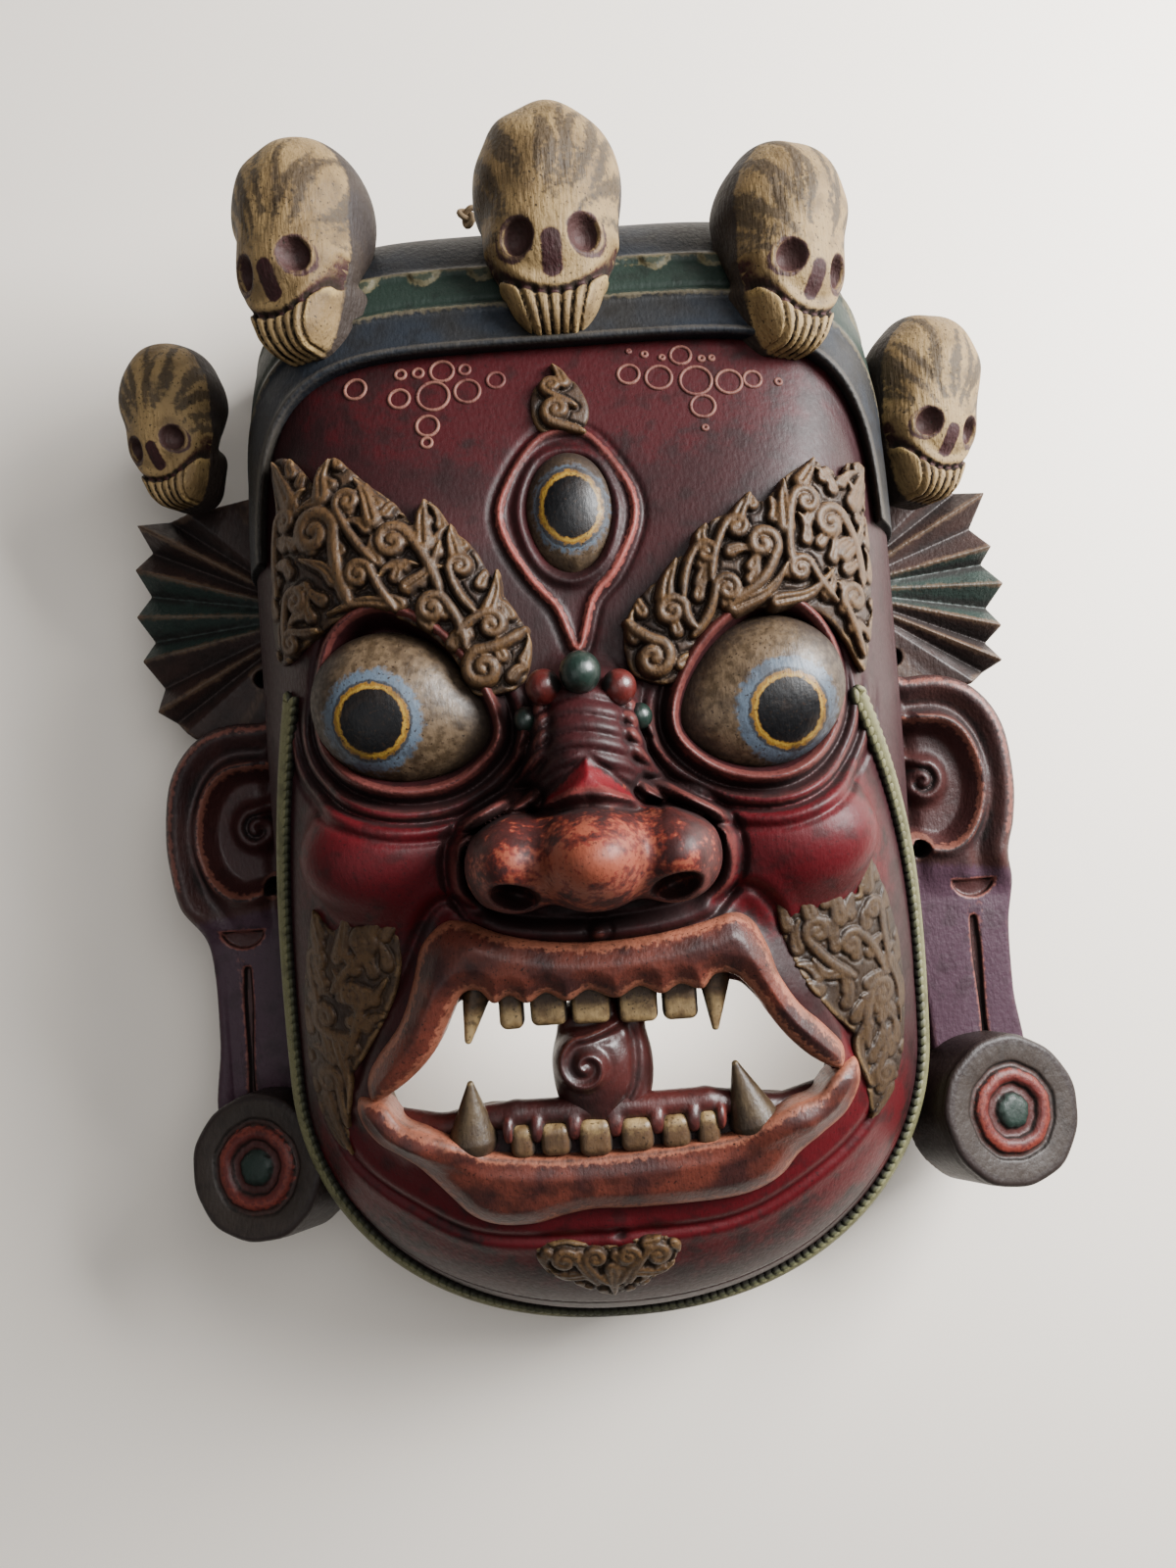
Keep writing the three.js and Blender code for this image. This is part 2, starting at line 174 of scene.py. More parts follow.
# ---- Solid geometry -------------------------------------------------------------------------------------


def blend_union(a: Array, b: Array, soft: float) -> Array:
    """Both solids, with the crease between them filled to a fillet of about soft.

    Args:
        a: Distances to the one solid.
        b: Distances to the other.
        soft: The fillet's size.

    Returns:
        The distances to both, joined.
    """
    if soft <= 0:
        return np.minimum(a, b)
    h = np.clip(0.5 + 0.5 * (b - a) / soft, 0, 1)
    return b * (1 - h) + a * h - soft * h * (1 - h)


def blend_cut(a: Array, b: Array, soft: float) -> Array:
    """The first solid without the second, with the edge rounded by about soft."""
    return -blend_union(-a, b, soft)


@dataclass(frozen=True)
class Lump:
    """A stretched ball: its middle, its three half sizes, and its turn about +Z in degrees."""

    at: Point
    half: Point
    turn: float = 0.0

    @property
    def reach(self) -> float:
        """How far the lump reaches from its middle."""
        return max(self.half)

    def distance(self, x: Array, y: Array, z: Array) -> Array:
        """The distance from places to the lump's skin, below zero inside.

        Args:
            x: Places across.
            y: Places up.
            z: Heights.

        Returns:
            The distances.
        """
        c, s = math.cos(math.radians(self.turn)), math.sin(math.radians(self.turn))
        dx, dy, dz = x - self.at[0], y - self.at[1], z - self.at[2]
        u, v = dx * c + dy * s, dy * c - dx * s
        scaled = np.sqrt(sum((d / half) ** 2 for d, half in zip((u, v, dz), self.half, strict=True)))
        steep = np.sqrt(sum((d / half**2) ** 2 for d, half in zip((u, v, dz), self.half, strict=True)))
        return scaled * (scaled - 1) / (steep + 1e-9)


@dataclass(frozen=True)
class Rod:
    """A round rod or cone with round ends."""

    start: Point
    end: Point
    radius: float
    end_radius: float | None = None

    @property
    def at(self) -> Point:
        """The rod's middle."""
        return tuple((a + b) / 2 for a, b in zip(self.start, self.end, strict=True))

    @property
    def reach(self) -> float:
        """How far the rod reaches from its middle."""
        return math.dist(self.start, self.end) / 2 + max(self.radius, self.end_radius or 0)

    def distance(self, x: Array, y: Array, z: Array) -> Array:
        """The distance from places to the rod's skin, below zero inside.

        Args:
            x: Places across.
            y: Places up.
            z: Heights.

        Returns:
            The distances.
        """
        a, b = self.start, self.end
        run = [q - p for p, q in zip(a, b, strict=True)]
        t = ((x - a[0]) * run[0] + (y - a[1]) * run[1] + (z - a[2]) * run[2]) / sum(r * r for r in run)
        t = np.clip(t, 0, 1)
        away = np.sqrt(
            (x - a[0] - t * run[0]) ** 2 + (y - a[1] - t * run[1]) ** 2 + (z - a[2] - t * run[2]) ** 2
        )
        last = self.radius if self.end_radius is None else self.end_radius
        return away - (self.radius + (last - self.radius) * t)


@dataclass(frozen=True)
class Brick:
    """A block with rounded edges: its middle, its half sizes, and the radius of its edges."""

    at: Point
    half: Point
    round: float = 1.5

    @property
    def reach(self) -> float:
        """How far the block reaches from its middle."""
        return math.hypot(*self.half)

    def distance(self, x: Array, y: Array, z: Array) -> Array:
        """The distance from places to the block's skin, below zero inside.

        Args:
            x: Places across.
            y: Places up.
            z: Heights.

        Returns:
            The distances.
        """
        sides = zip((x, y, z), self.at, self.half, strict=True)
        parts = np.broadcast_arrays(*(np.abs(v - m) - (h - self.round) for v, m, h in sides))
        outside = np.sqrt(sum(np.maximum(p, 0) ** 2 for p in parts))
        return outside + np.minimum(np.maximum(np.maximum(parts[0], parts[1]), parts[2]), 0) - self.round


Solid = Lump | Rod | Brick


class Carving:
    """A chunk of solid space, as distances on a grid, that shapes are added to and cut from."""

    def __init__(self, low: Point, high: Point, step: float) -> None:
        """Starts an empty chunk.

        Args:
            low: Its lowest corner, in millimetres.
            high: Its highest corner.
            step: The grid's spacing.
        """
        self.step = step * 1.0
        self.low = np.array(low, dtype=float)
        counts = np.ceil((np.array(high) - self.low) / self.step).astype(int) + 1
        axes = (start + self.step * np.arange(count) for start, count in zip(self.low, counts, strict=True))
        self.x, self.y, self.z = np.ix_(*(axis.astype(np.float32) for axis in axes))
        self.field = np.full(counts, FAR, dtype=np.float32)

    def _window(self, shape: Solid, soft: float) -> tuple[slice, ...]:
        """The part of the grid that a shape can change.

        Args:
            shape: The shape.
            soft: The fillet's size.

        Returns:
            A slice of each axis.
        """
        reach = shape.reach + 2 * soft + 3 * self.step
        found = []
        for axis in range(3):
            first = math.floor((shape.at[axis] - reach - self.low[axis]) / self.step)
            last = math.ceil((shape.at[axis] + reach - self.low[axis]) / self.step) + 1
            found.append(slice(max(0, first), max(1, last)))
        return tuple(found)

    def add(self, shapes: Sequence[Solid], soft: float = 0.0, blend: Callable = blend_union) -> None:
        """Joins shapes on, with fillets of about soft, or blends them in some other way.

        Args:
            shapes: The shapes, one after another.
            soft: The fillets' size.
            blend: How two distances become one.
        """
        for shape in shapes:
            at = self._window(shape, soft)
            near = shape.distance(self.x[at[0]], self.y[:, at[1]], self.z[:, :, at[2]])
            self.field[at] = blend(self.field[at], near, soft)

    def cut(self, shapes: Sequence[Solid], soft: float = 0.0) -> None:
        """Cuts shapes away, with edges rounded by about soft."""
        self.add(shapes, soft, blend_cut)

    def trim(self, over: Array) -> None:
        """Cuts away every place whose number is over zero, with sharp edges."""
        self.field = np.maximum(self.field, over).astype(self.field.dtype, copy=False)

    def below(self, surface: Array, steepest: float) -> Array:
        """The distance to a surface given by its heights over the grid, below zero under it."""
        slope = np.hypot(*np.gradient(surface[:, :, 0], self.step))[:, :, None]
        return (self.z - surface) / np.sqrt(1 + np.minimum(slope, steepest) ** 2)

    def sample(self, points: Array) -> Array:
        """The distance at any points, between the grid's own.

        Args:
            points: The points, in millimetres.

        Returns:
            A distance for each.
        """
        place = np.clip((points - self.low) / self.step, 0, np.array(self.field.shape) - 1.001)
        index = place.astype(int)
        part = place - index
        total = np.zeros(len(points))
        for corner in range(8):
            bits = [(corner >> axis) & 1 for axis in range(3)]
            weight = np.prod([part[:, a] if bits[a] else 1 - part[:, a] for a in range(3)], axis=0)
            total += weight * self.field[tuple(index[:, a] + bits[a] for a in range(3))]
        return total

    def skin(self) -> tuple[Array, Array]:
        """The skin of the carving as points in millimetres and four-cornered faces that point outwards.

        Returns:
            The points and the faces.
        """
        grid = openvdb.FloatGrid(3 * self.step)
        grid.copyFromArray(np.clip(self.field, -3 * self.step, 3 * self.step), tolerance=0)
        points, quads = grid.convertToQuads(0.0)
        points = points * self.step + self.low
        a, b, c = (points[quads[:, i]] for i in range(3))
        d = points[quads[:, 3]]
        volume = np.einsum("ij,ij->", np.cross(b - a, d - a) + np.cross(c - b, d - b), a + c)
        return points, (quads if volume > 0 else quads[:, ::-1]).astype(np.int32)


# ---- Meshes ---------------------------------------------------------------------------------------------


def in_scene(name: str, data: bpy.types.ID) -> bpy.types.Object:
    """A new object, in the scene.

    Args:
        name: The object's name.
        data: Its mesh, light or camera.

    Returns:
        The object.
    """
    made = bpy.data.objects.new(name, data)
    bpy.context.scene.collection.objects.link(made)
    return made


def mesh_object(name: str, points: Array, faces: Array) -> bpy.types.Object:
    """A mesh object from arrays.

    Args:
        name: The piece's name.
        points: Its points, in the carver's millimetres.
        faces: Its faces, all with the same number of corners.

    Returns:
        The new object, in the row frame in metres.
    """
    mesh = bpy.data.meshes.new(name)
    mesh.vertices.add(len(points))
    mesh.vertices.foreach_set("co", ((points + SHIFT) * MM).astype(np.float32).ravel())
    mesh.loops.add(faces.size)
    mesh.loops.foreach_set("vertex_index", faces.astype(np.int32).ravel())
    mesh.polygons.add(len(faces))
    mesh.polygons.foreach_set("loop_start", np.arange(0, faces.size, faces.shape[1], dtype=np.int32))
    mesh.update(calc_edges=True)
    mesh.shade_smooth()
    return in_scene(name, mesh)


def settle(piece: bpy.types.Object) -> None:
    """Turns a piece and its modifiers into one plain mesh.

    Args:
        piece: The piece.
    """
    plain = bpy.data.meshes.new_from_object(piece.evaluated_get(bpy.context.evaluated_depsgraph_get()))
    old = piece.data
    piece.modifiers.clear()
    piece.data = plain
    bpy.data.meshes.remove(old)
    plain.name = piece.name


def place(piece: bpy.types.Object, turn: Array, at: Point) -> None:
    """Turns a piece made in its own frame and sets it in its place.

    Args:
        piece: The piece.
        turn: Its three by three turn and size.
        at: Its middle, in the carver's millimetres.
    """
    points, _ = places(piece)
    placed = points @ turn.T + np.array(at)
    piece.data.vertices.foreach_set("co", ((placed + SHIFT) * MM).astype(np.float32).ravel())
    piece.data.update()


def thin(piece: bpy.types.Object, triangles: int) -> None:
    """Brings a piece down to about a number of triangles, keeping them where the relief is.

    Args:
        piece: The piece.
        triangles: The number to keep.
    """
    have = sum(len(face.vertices) - 2 for face in piece.data.polygons)
    if have > triangles:
        modifier = piece.modifiers.new("thin", "DECIMATE")
        modifier.ratio = triangles / have
        settle(piece)
        piece.data.shade_smooth()


def places(piece: bpy.types.Object) -> tuple[Array, Array]:
    """A piece's points in the carver's millimetres, and its normals.

    Args:
        piece: The piece.

    Returns:
        The points and the normals, a row for each point.
    """
    mesh = piece.data
    points, normals = np.empty((2, len(mesh.vertices) * 3), dtype=np.float32)
    mesh.vertices.foreach_get("co", points)
    mesh.vertex_normals.foreach_get("vector", normals)
    return points.reshape(-1, 3) / MM - SHIFT, normals.reshape(-1, 3)


def note(piece: bpy.types.Object, name: str, values: Array) -> None:
    """Keeps one number for each point of a piece, for its paint to read."""
    kept = piece.data.attributes.get(name) or piece.data.attributes.new(name, "FLOAT", "POINT")
    kept.data.foreach_set("value", values.astype(np.float32))


def note_age(piece: bpy.types.Object, carving: Carving, reach: float = 2.5) -> None:
    """Notes how far each point sits in a hollow, for grime, and on a ridge, for wear.

    Args:
        piece: The piece.
        carving: The distances it was cut from.
        reach: How wide a hollow or ridge counts, in millimetres.
    """
    points, normals = places(piece)
    grime = np.zeros(len(points))
    for share in (1.0, 2.5):
        out = carving.sample(points + normals * reach * share)
        grime = np.maximum(grime, 1 - out / (reach * share))
    within = -carving.sample(points - normals * reach)
    note(piece, "grime", np.clip(grime, 0, 1))
    note(piece, "wear", np.clip(1 - within / reach, 0, 1))


def carve_piece(
    name: str, carving: Carving, triangles: int, reach: float = 2.5
) -> tuple[bpy.types.Object, Array]:
    """A mesh piece from a carving, with its grime and wear noted.

    Args:
        name: The piece's name.
        carving: The distances to cut it from.
        triangles: The most triangles it keeps.
        reach: How wide a hollow or ridge counts for grime and wear, in millimetres.

    Returns:
        The piece, and its points in millimetres as three rows.
    """
    piece = mesh_object(name, *carving.skin())
    thin(piece, triangles)
    note_age(piece, carving, reach)
    return piece, places(piece)[0].T


# ---- Paint ----------------------------------------------------------------------------------------------


def srgb(code: str) -> tuple[float, float, float, float]:
    """A colour code such as 7a2026 as the linear numbers that a shader takes.

    Args:
        code: Six hexadecimal digits.

    Returns:
        Red, green, blue and one.
    """
    parts = [int(code[i : i + 2], 16) / 255 for i in (0, 2, 4)]
    linear = [p / 12.92 if p <= 0.04045 else ((p + 0.055) / 1.055) ** 2.4 for p in parts]
    return (*linear, 1.0)


class Nodes:
    """A node tree that is built with one short call for each node."""

    def __init__(self, tree: bpy.types.NodeTree, family: str = "") -> None:
        """Takes up an empty tree, whose nodes' full types start with the family's name."""
        self.tree, self.family = tree, family

    def add(
        self, kind: str, inputs: dict | tuple = (), out: str | None = None, **settings: object
    ) -> bpy.types.NodeSocket:
        """Adds a node with its settings, values and links.

        Args:
            kind: The node's type, after the family's name.
            inputs: Its inputs in order, or by name or number: each a value, a socket, or a list of sockets.
            out: The output that is wanted, if not the first that is on.
            settings: The node's own settings.

        Returns:
            The node's output.
        """
        node = self.tree.nodes.new(self.family + kind)
        for key, value in settings.items():
            setattr(node, key, value)
        for key, value in inputs.items() if isinstance(inputs, dict) else enumerate(inputs):
            for one in value if isinstance(value, list) else [value]:
                if isinstance(one, bpy.types.NodeSocket):
                    self.tree.links.new(one, node.inputs[key])
                else:
                    node.inputs[key].default_value = one
        return node.outputs[out] if out else next((one for one in node.outputs if one.enabled), None)


# Settings that many nodes share.
TIMES, TIMES_PLUS = {"operation": "MULTIPLY"}, {"operation": "MULTIPLY_ADD"}
SMOOTH, COLOURS = {"interpolation_type": "SMOOTHSTEP"}, {"data_type": "RGBA"}
# The sizes in millimetres of brush flecks, wood grain, smoky blots and soot specks, in all the paints.
FLECKS, GRAIN, BLOTS, SPECKS = 1.6, 1.1, 6.5, 0.9
EVEN = (1.0, 1.0, 1.0)  # a pattern that isn't stretched
NOWHERE = -1e6  # the lower limit of a mark that has none


@dataclass(frozen=True)
class Mark:
    """A painted area: where a noted number lies between two limits, in that number's own unit."""

    attribute: str
    colour: str
    below: float = 0.0
    above: float = NOWHERE
    soft: float = 0.25
    wobble: float = 0.4  # how far its edge wanders in fine flecks
    blot: float = 0.0  # how far its edge wanders in broad blots
    strength: float = 1.0


@dataclass(frozen=True)
class Paint:
    """Old paint on carved wood: its colours, marks, dirt, painted shade, rubbed ridges, gloss and surface
    grain.
    """

    name: str
    colour: str
    patches: str  # the colour that the paint drifts to in broad patches
    worn: str = "a06a58"  # what shows where ridges are rubbed
    # The dirt colour is also the colour of the painted shade where the eyes and the jaw cord meet the wood.
    dirt_and_shade_colour: str = "1a1210"  # what lies in the hollows
    marks: tuple[Mark, ...] = ()
    roughness: float = 0.45
    wear: float = 0.6
    # How dark the hollows get with dirt, and how dark the painted shade is on the eyes and the cord.
    grime: float = 1.0
    coat: float = 0.15
    grain: Point = (1.0, 3.0, 1.0)  # how the wood grain is stretched
    bump: float = 0.4
    speckle: float = 0.35
    specular: float = 0.3
    patch_size: float = 26.0
    smoke: float = 0.35  # how dark the smoky blots over the paint are

    def material(self) -> bpy.types.Material:
        """Builds the material.

        Returns:
            The material, which reads the numbers noted on a piece.
        """
        made = bpy.data.materials.new(self.name)
        made.use_nodes = True
        made.node_tree.nodes.clear()
        add = Nodes(made.node_tree, "ShaderNode").add
        where = add("TexCoord", out="Object")
        noises = []
        for size, stretch, detail in (
            (self.patch_size, EVEN, 3), (FLECKS, EVEN, 5), (GRAIN, self.grain, 4), (BLOTS, EVEN, 6),
            (SPECKS, EVEN, 2),
        ):
            scale = tuple(1 / (size * MM * along) for along in stretch)
            placed = add("Mapping", {"Vector": where, "Scale": scale})
            noises.append(add("TexNoise", {"Vector": placed, "Scale": 1.0, "Detail": detail}))
        broad, flecks, grain, blots, specks = noises
        drift = add("MapRange", (broad, 0.38, 0.66), **SMOOTH)
        colour = add("Mix", {0: drift, 6: srgb(self.colour), 7: srgb(self.patches)}, **COLOURS)
        for mark in self.marks:
            noted = add("Attribute", out="Fac", attribute_name=mark.attribute)
            edge = add("Math", (flecks, 4 * mark.wobble, noted), **TIMES_PLUS)
            edge = add("Math", (blots, 4 * mark.blot, edge), **TIMES_PLUS)
            middle = 2 * (mark.wobble + mark.blot)
            low, high = mark.above + middle, mark.below + middle
            share = add("MapRange", (edge, high + mark.soft, high - mark.soft, 0.0, mark.strength), **SMOOTH)
            if mark.above > NOWHERE:
                over = add("MapRange", (edge, low - mark.soft, low + mark.soft), **SMOOTH)
                share = add("Math", (share, over), **TIMES)
            colour = add("Mix", {0: share, 6: colour, 7: srgb(mark.colour)}, **COLOURS)
        worn = add("Math", (grain, 0.5, add("Attribute", out="Fac", attribute_name="wear")), **TIMES_PLUS)
        rubbed = add("MapRange", (worn, 0.5, 0.95, 0.0, self.wear), **SMOOTH)
        colour = add("Mix", {0: rubbed, 6: colour, 7: srgb(self.worn)}, **COLOURS)
        smoke = add("MapRange", (blots, 0.5, 0.68, 0.0, self.smoke), **SMOOTH)
        dots = add("MapRange", (specks, 0.6, 0.72, 0.0, self.speckle), **SMOOTH)
        soiled = add("Math", (smoke, dots), operation="MAXIMUM")
        colour = add("Mix", {0: soiled, 6: colour, 7: srgb(self.dirt_and_shade_colour)}, **COLOURS)
        # Darkens the hollows with dirt, and paints shade where a piece notes it, at the lids and where the
        # cord meets the face.
        grime_and_shade_level = add("Math", (flecks, 0.5, add("Attribute", out="Fac", attribute_name="grime")), **TIMES_PLUS)
        grime_and_shade_share = add("MapRange", (grime_and_shade_level, 0.4, 1.05, 0.0, self.grime), **SMOOTH)
        colour = add("Mix", {0: grime_and_shade_share, 6: colour, 7: srgb(self.dirt_and_shade_colour)}, **COLOURS)
        dull = add("Math", (flecks, 0.25, self.roughness - 0.12), **TIMES_PLUS)
        rough = add("Math", (grime_and_shade_share, 0.3, dull), **TIMES_PLUS)
        height = add("Math", (grain, 0.6, add("Math", (flecks, 0.4), **TIMES)), **TIMES_PLUS)
        normal = add("Bump", {"Strength": self.bump, "Distance": 0.9 * MM, "Height": height})
        shader = add("BsdfPrincipled", {
            "Base Color": colour, "Roughness": rough, "Normal": normal, "Specular IOR Level": self.specular,
            "Coat Weight": self.coat, "Coat Roughness": 0.35,
        })
        add("OutputMaterial", {"Surface": shader})
        return made


def dress(piece: bpy.types.Object, paint: Paint, **notes: Array) -> None:
    """Gives a piece its one material, and notes the numbers that its marks read.

    Args:
        piece: The piece.
        paint: Its finish.
        notes: The numbers for each point, by the names that the marks know.
    """
    for name, values in notes.items():
        note(piece, name, values)
    piece.data.materials.clear()
    piece.data.materials.append(bpy.data.materials.get(paint.name) or paint.material())


# ---- The block ------------------------------------------------------------------------------------------

# Old gold paint, brown in the hollows and bright where hands have rubbed it.
GOLD = Paint(
    "rubbed_gold", "38281a", "2a1c15", worn="6c5335", dirt_and_shade_colour="140d09", roughness=0.52, wear=0.8, speckle=0.8,
    coat=0.05, grime=0.62, bump=0.5,
    marks=(
        Mark("stroke", "432f1c", below=0.2, soft=0.6, wobble=0.8),
        Mark("stroke", "553e25", below=-0.8, soft=0.6, wobble=1.4, strength=0.6),
    ),
)
# The same gold, darker, for the beard on the right cheek.
DARKER_GOLD = replace(
    GOLD, name="darker_gold", colour="2a1e13", patches="20160f", worn="574329",
    marks=(
        Mark("stroke", "322315", below=0.2, soft=0.6, wobble=0.8),
        Mark("stroke", "3f2e1a", below=-0.8, soft=0.6, wobble=1.4, strength=0.6),
    ),
)
# Where the cords that hold the mask on go in beside the face.
TIE_HOLES = ((-109, 44), (-109.5, -27), (108, 36), (111, -30))


def tie_hole(x: float, y: float) -> list[Rod]:
    """One cord hole: down beside the face, then aslant into the hollow."""
    return [Rod((x, y, 64), (x, y, 26), 2.9), Rod((x, y, 27), (x - math.copysign(17, x), y, 17), 2.6)]


@dataclass
class Block:
    """The wooden block: its outline, its dome, its hollow, and the face carved into its front."""

    middle: float = -88.0  # where the jaw's half of the outline meets the crown's half
    half_width: float = 110.0
    drop: float = 93.0  # from there down to the chin
    rise: float = 268.0  # from there up to the crown
    jaw_power: float = 2.1  # 2 makes an ellipse, and more makes squarer corners
    crown_power: float = 5.5
    height: float = 110.0
    height_at: float = 30.0  # where the dome is highest
    bend: float = 0.0008  # how fast it falls away from there
    edge_power: float = 3.6  # how late the front turns down to the sides
    side_round: float = 2.4  # how square the shoulders are at the sides, the chin and the crown
    chin_round: float = 3.0
    crown_round: float = 7.0
    tool_marks: float = 0.5  # how deep they are inside the hollow
    side_wall: float = 12.0
    front_wall: float = 17.0
    split: float = 60.0  # the height at which the finely cut front meets the plainer back
    lap: float = 5.0  # how far the grid of each reaches past that height

    def _outness(self, x: Array, y: Array, inset: float = 0.0) -> tuple[Array, Array]:
        """How far out a place is, from 0 in the middle to 1 at the edge, and its shoulder's roundness.

        Args:
            x: Places across.
            y: Places up.
            inset: How far the sides are brought in.

        Returns:
            The two numbers for each place.
        """
        upper = y > self.middle
        power = np.where(upper, self.crown_power, self.jaw_power)
        across = np.abs(x / (self.half_width - inset)) ** power
        along = np.abs((y - self.middle) / (np.where(upper, self.rise, self.drop) - inset)) ** power
        end = np.where(upper, self.crown_round, self.chin_round)
        shoulder = self.side_round + (end - self.side_round) * along / (across + along + 1e-9)
        return (across + along) ** (1 / power), shoulder

    def _spine(self, y: Array) -> Array:
        """The height of the middle of the face."""
        return self.height - self.bend * (y - self.height_at) ** 2

    def smooth_height(self, x: Array, y: Array) -> Array:
        """The height of the face over the rim before any feature is carved."""
        out, shoulder = self._outness(x, y)
        return self._spine(y) * np.clip(1 - out**self.edge_power, 0, 1) ** (1 / shoulder)

    def shell(self, x: Array, y: Array, z: Array, inset: float = 0.0, drop: float = 0.0) -> Array:
        """The distance to the smooth dome, or to a smaller dome inside it.

        Args:
            x: Places across.
            y: Places up.
            z: Heights, with any relief already taken off.
            inset: How far the sides are brought in.
            drop: How far the front is lowered.

        Returns:
            The distances, below zero inside.
        """
        out, shoulder = self._outness(x, y, inset)
        spine = self._spine(y) * (1 - drop / self.height)
        level = np.maximum(z / spine, 1e-3).astype(np.float32)
        lifted = level ** shoulder.astype(np.float32)
        rim = out**self.edge_power
        across = np.hypot(*np.gradient(rim[:, :, 0], x[:, 0, 0], y[0, :, 0])).astype(np.float32)[:, :, None]
        steep = np.sqrt((shoulder * lifted / (level * spine)) ** 2 + across**2 + 1e-8)
        return (lifted + rim - 1) / steep

    def carving(self, face: "Face", low: float, high: float, step: float) -> Carving:
        """The block with its face, between two heights.

        Args:
            face: The features to carve.
            low: The lowest height.
            high: The highest height.
            step: The grid's spacing.

        Returns:
            The distances to its skin.
        """
        made = Carving((-113, -184, low), (113, 183, high), step)
        relief = face.relief(made.x, made.y).astype(np.float32)
        made.field = np.clip(self.shell(made.x, made.y, made.z - relief), -25, 25)
        face.carve(made)
        inner = self.shell(made.x, made.y, made.z, self.side_wall, self.front_wall)
        across, along = made.x / 3.1 + np.sin(made.y / 9), made.y / 5.3 + np.sin(made.x / 11)
        chisel = self.tool_marks * np.sin(across) * np.sin(along)
        made.trim(-(inner + chisel.astype(np.float32)))
        face.open_mouth(made)
        made.cut([rod for x, y in TIE_HOLES for rod in tie_hole(x, y)], 0.8)
        made.trim(-made.z)
        return made

    def build(self, face: "Face") -> list[bpy.types.Object]:
        """Carves and paints the block as a finely cut front and a plainer back that meet on one level.

        Args:
            face: The features to carve.

        Returns:
            The two finished pieces.
        """
        made = []
        for name, low, high, step, triangles in (
            ("face_front", self.split - self.lap, 164.0, 0.62, 190_000),
            ("face_back", -3.0, self.split + self.lap, 1.0, 36_000),
        ):
            carving = self.carving(face, low, high, step)
            whole = carving.field
            cap = self.split - carving.z if low > 0 else carving.z - self.split
            carving.field = np.maximum(whole, cap)
            piece = mesh_object(name, *carving.skin())
            thin(piece, triangles)
            carving.field = whole
            note_age(piece, carving, 3.0)
            points, _ = places(piece)
            dress(piece, face.paint(), inside=self._depth(points), **face.notes(points))
            made.append(piece)
        return made

    def _depth(self, points: Array) -> Array:
        """How far each point lies below the dome's surface, less half the wall, so over 0 inside.

        Args:
            points: The points, in millimetres.

        Returns:
            The depths.
        """
        x, y, z = points.T
        under_front = self.smooth_height(x, y) - z - self.front_wall * 0.55
        out, _ = self._outness(x, y)
        return np.where((out < 0.93) | (z < 0.8), np.maximum(under_front, 2 * (0.8 - z)), -5.0)


# ---- The face -------------------------------------------------------------------------------------------


@dataclass(frozen=True)
class Eye:
    """An eye: its opening in the lids, its ball, and where it looks."""

    name: str
    opening: tuple[Point, ...]
    at: Point
    half: Point
    iris: Point
    inner: tuple[Lump, ...] = ()  # what fills the corner by the nose
    turn: float = 0.0
    rings: Point = (14.2, 10.6, 8.9)  # radii of the blue ring, the gold ring and the pupil
    tall: float = 1.0  # how much taller than wide the iris is
    rise: float = 12.5
    sunk: float = 4.0  # how far the ball's middle lies under the smooth dome

    def outline(self) -> Array:
        """The opening as a smooth closed outline."""
        return smooth_path(self.opening, 48, closed=True)

    def build(self, block: Block) -> bpy.types.Object:
        """Carves and paints the eyeball.

        Args:
            block: The block that it stands on.

        Returns:
            The finished piece.
        """
        foot = float(block.smooth_height(*map(np.array, self.at)))
        middle = (*self.at, foot - self.sunk)
        ball = Lump(middle, (*self.half, self.rise + self.sunk), self.turn)
        reach = ball.reach + 10
        made = Carving(tuple(m - reach for m in middle), tuple(m + reach for m in middle), 0.5)
        made.add([ball])
        made.add([Lump((*lump.at[:2], foot + lump.at[2]), lump.half, lump.turn) for lump in self.inner], 6.0)
        piece, (x, y, _) = carve_piece(self.name, made, 8_000)
        inward = (self.iris[0] - x) * np.sign(self.at[0])
        # The white is darkened at and under the lids and towards its top as painted shade from the lids and
        # the brow, and made browner towards the nose as dirt.
        rim = ease(-to_outline(x, y, self.outline()), 11.0, -1.0)
        dress(
            piece,
            self.paint(),
            iris=np.hypot(x - self.iris[0], (y - self.iris[1]) / self.tall),
            grime=0.55 * rim + 0.3 * ease(inward, 14, 34) + 0.2 * ease(y - self.at[1], 2, 18),
        )
        return piece

    def paint(self) -> Paint:
        """Yellowed white under old varnish, darkened at the lids and towards the top by painted shade, with a
        blue, gold and black iris.

        Returns:
            The finish.
        """
        blue, gold, pupil = self.rings
        marks = (
            Mark("iris", "4c5a68", below=blue, wobble=1.3, soft=0.9, strength=0.9),
            Mark("iris", "231d17", below=gold + 0.8, wobble=0.4, strength=0.75),
            Mark("iris", "76551f", below=gold, wobble=0.6),
            Mark("iris", "96792e", above=pupil + 0.2, below=pupil + 0.9, wobble=0.5, strength=0.7),
            Mark("iris", "050507", below=pupil, wobble=0.4),
        )
        return Paint(
            "eye_white_" + self.name, "5b4b39", "3f3223", dirt_and_shade_colour="20150d", marks=marks, roughness=0.4, coat=0.1,
            wear=0.0, bump=0.3, speckle=0.9, patch_size=2.6, smoke=0.5,
        )


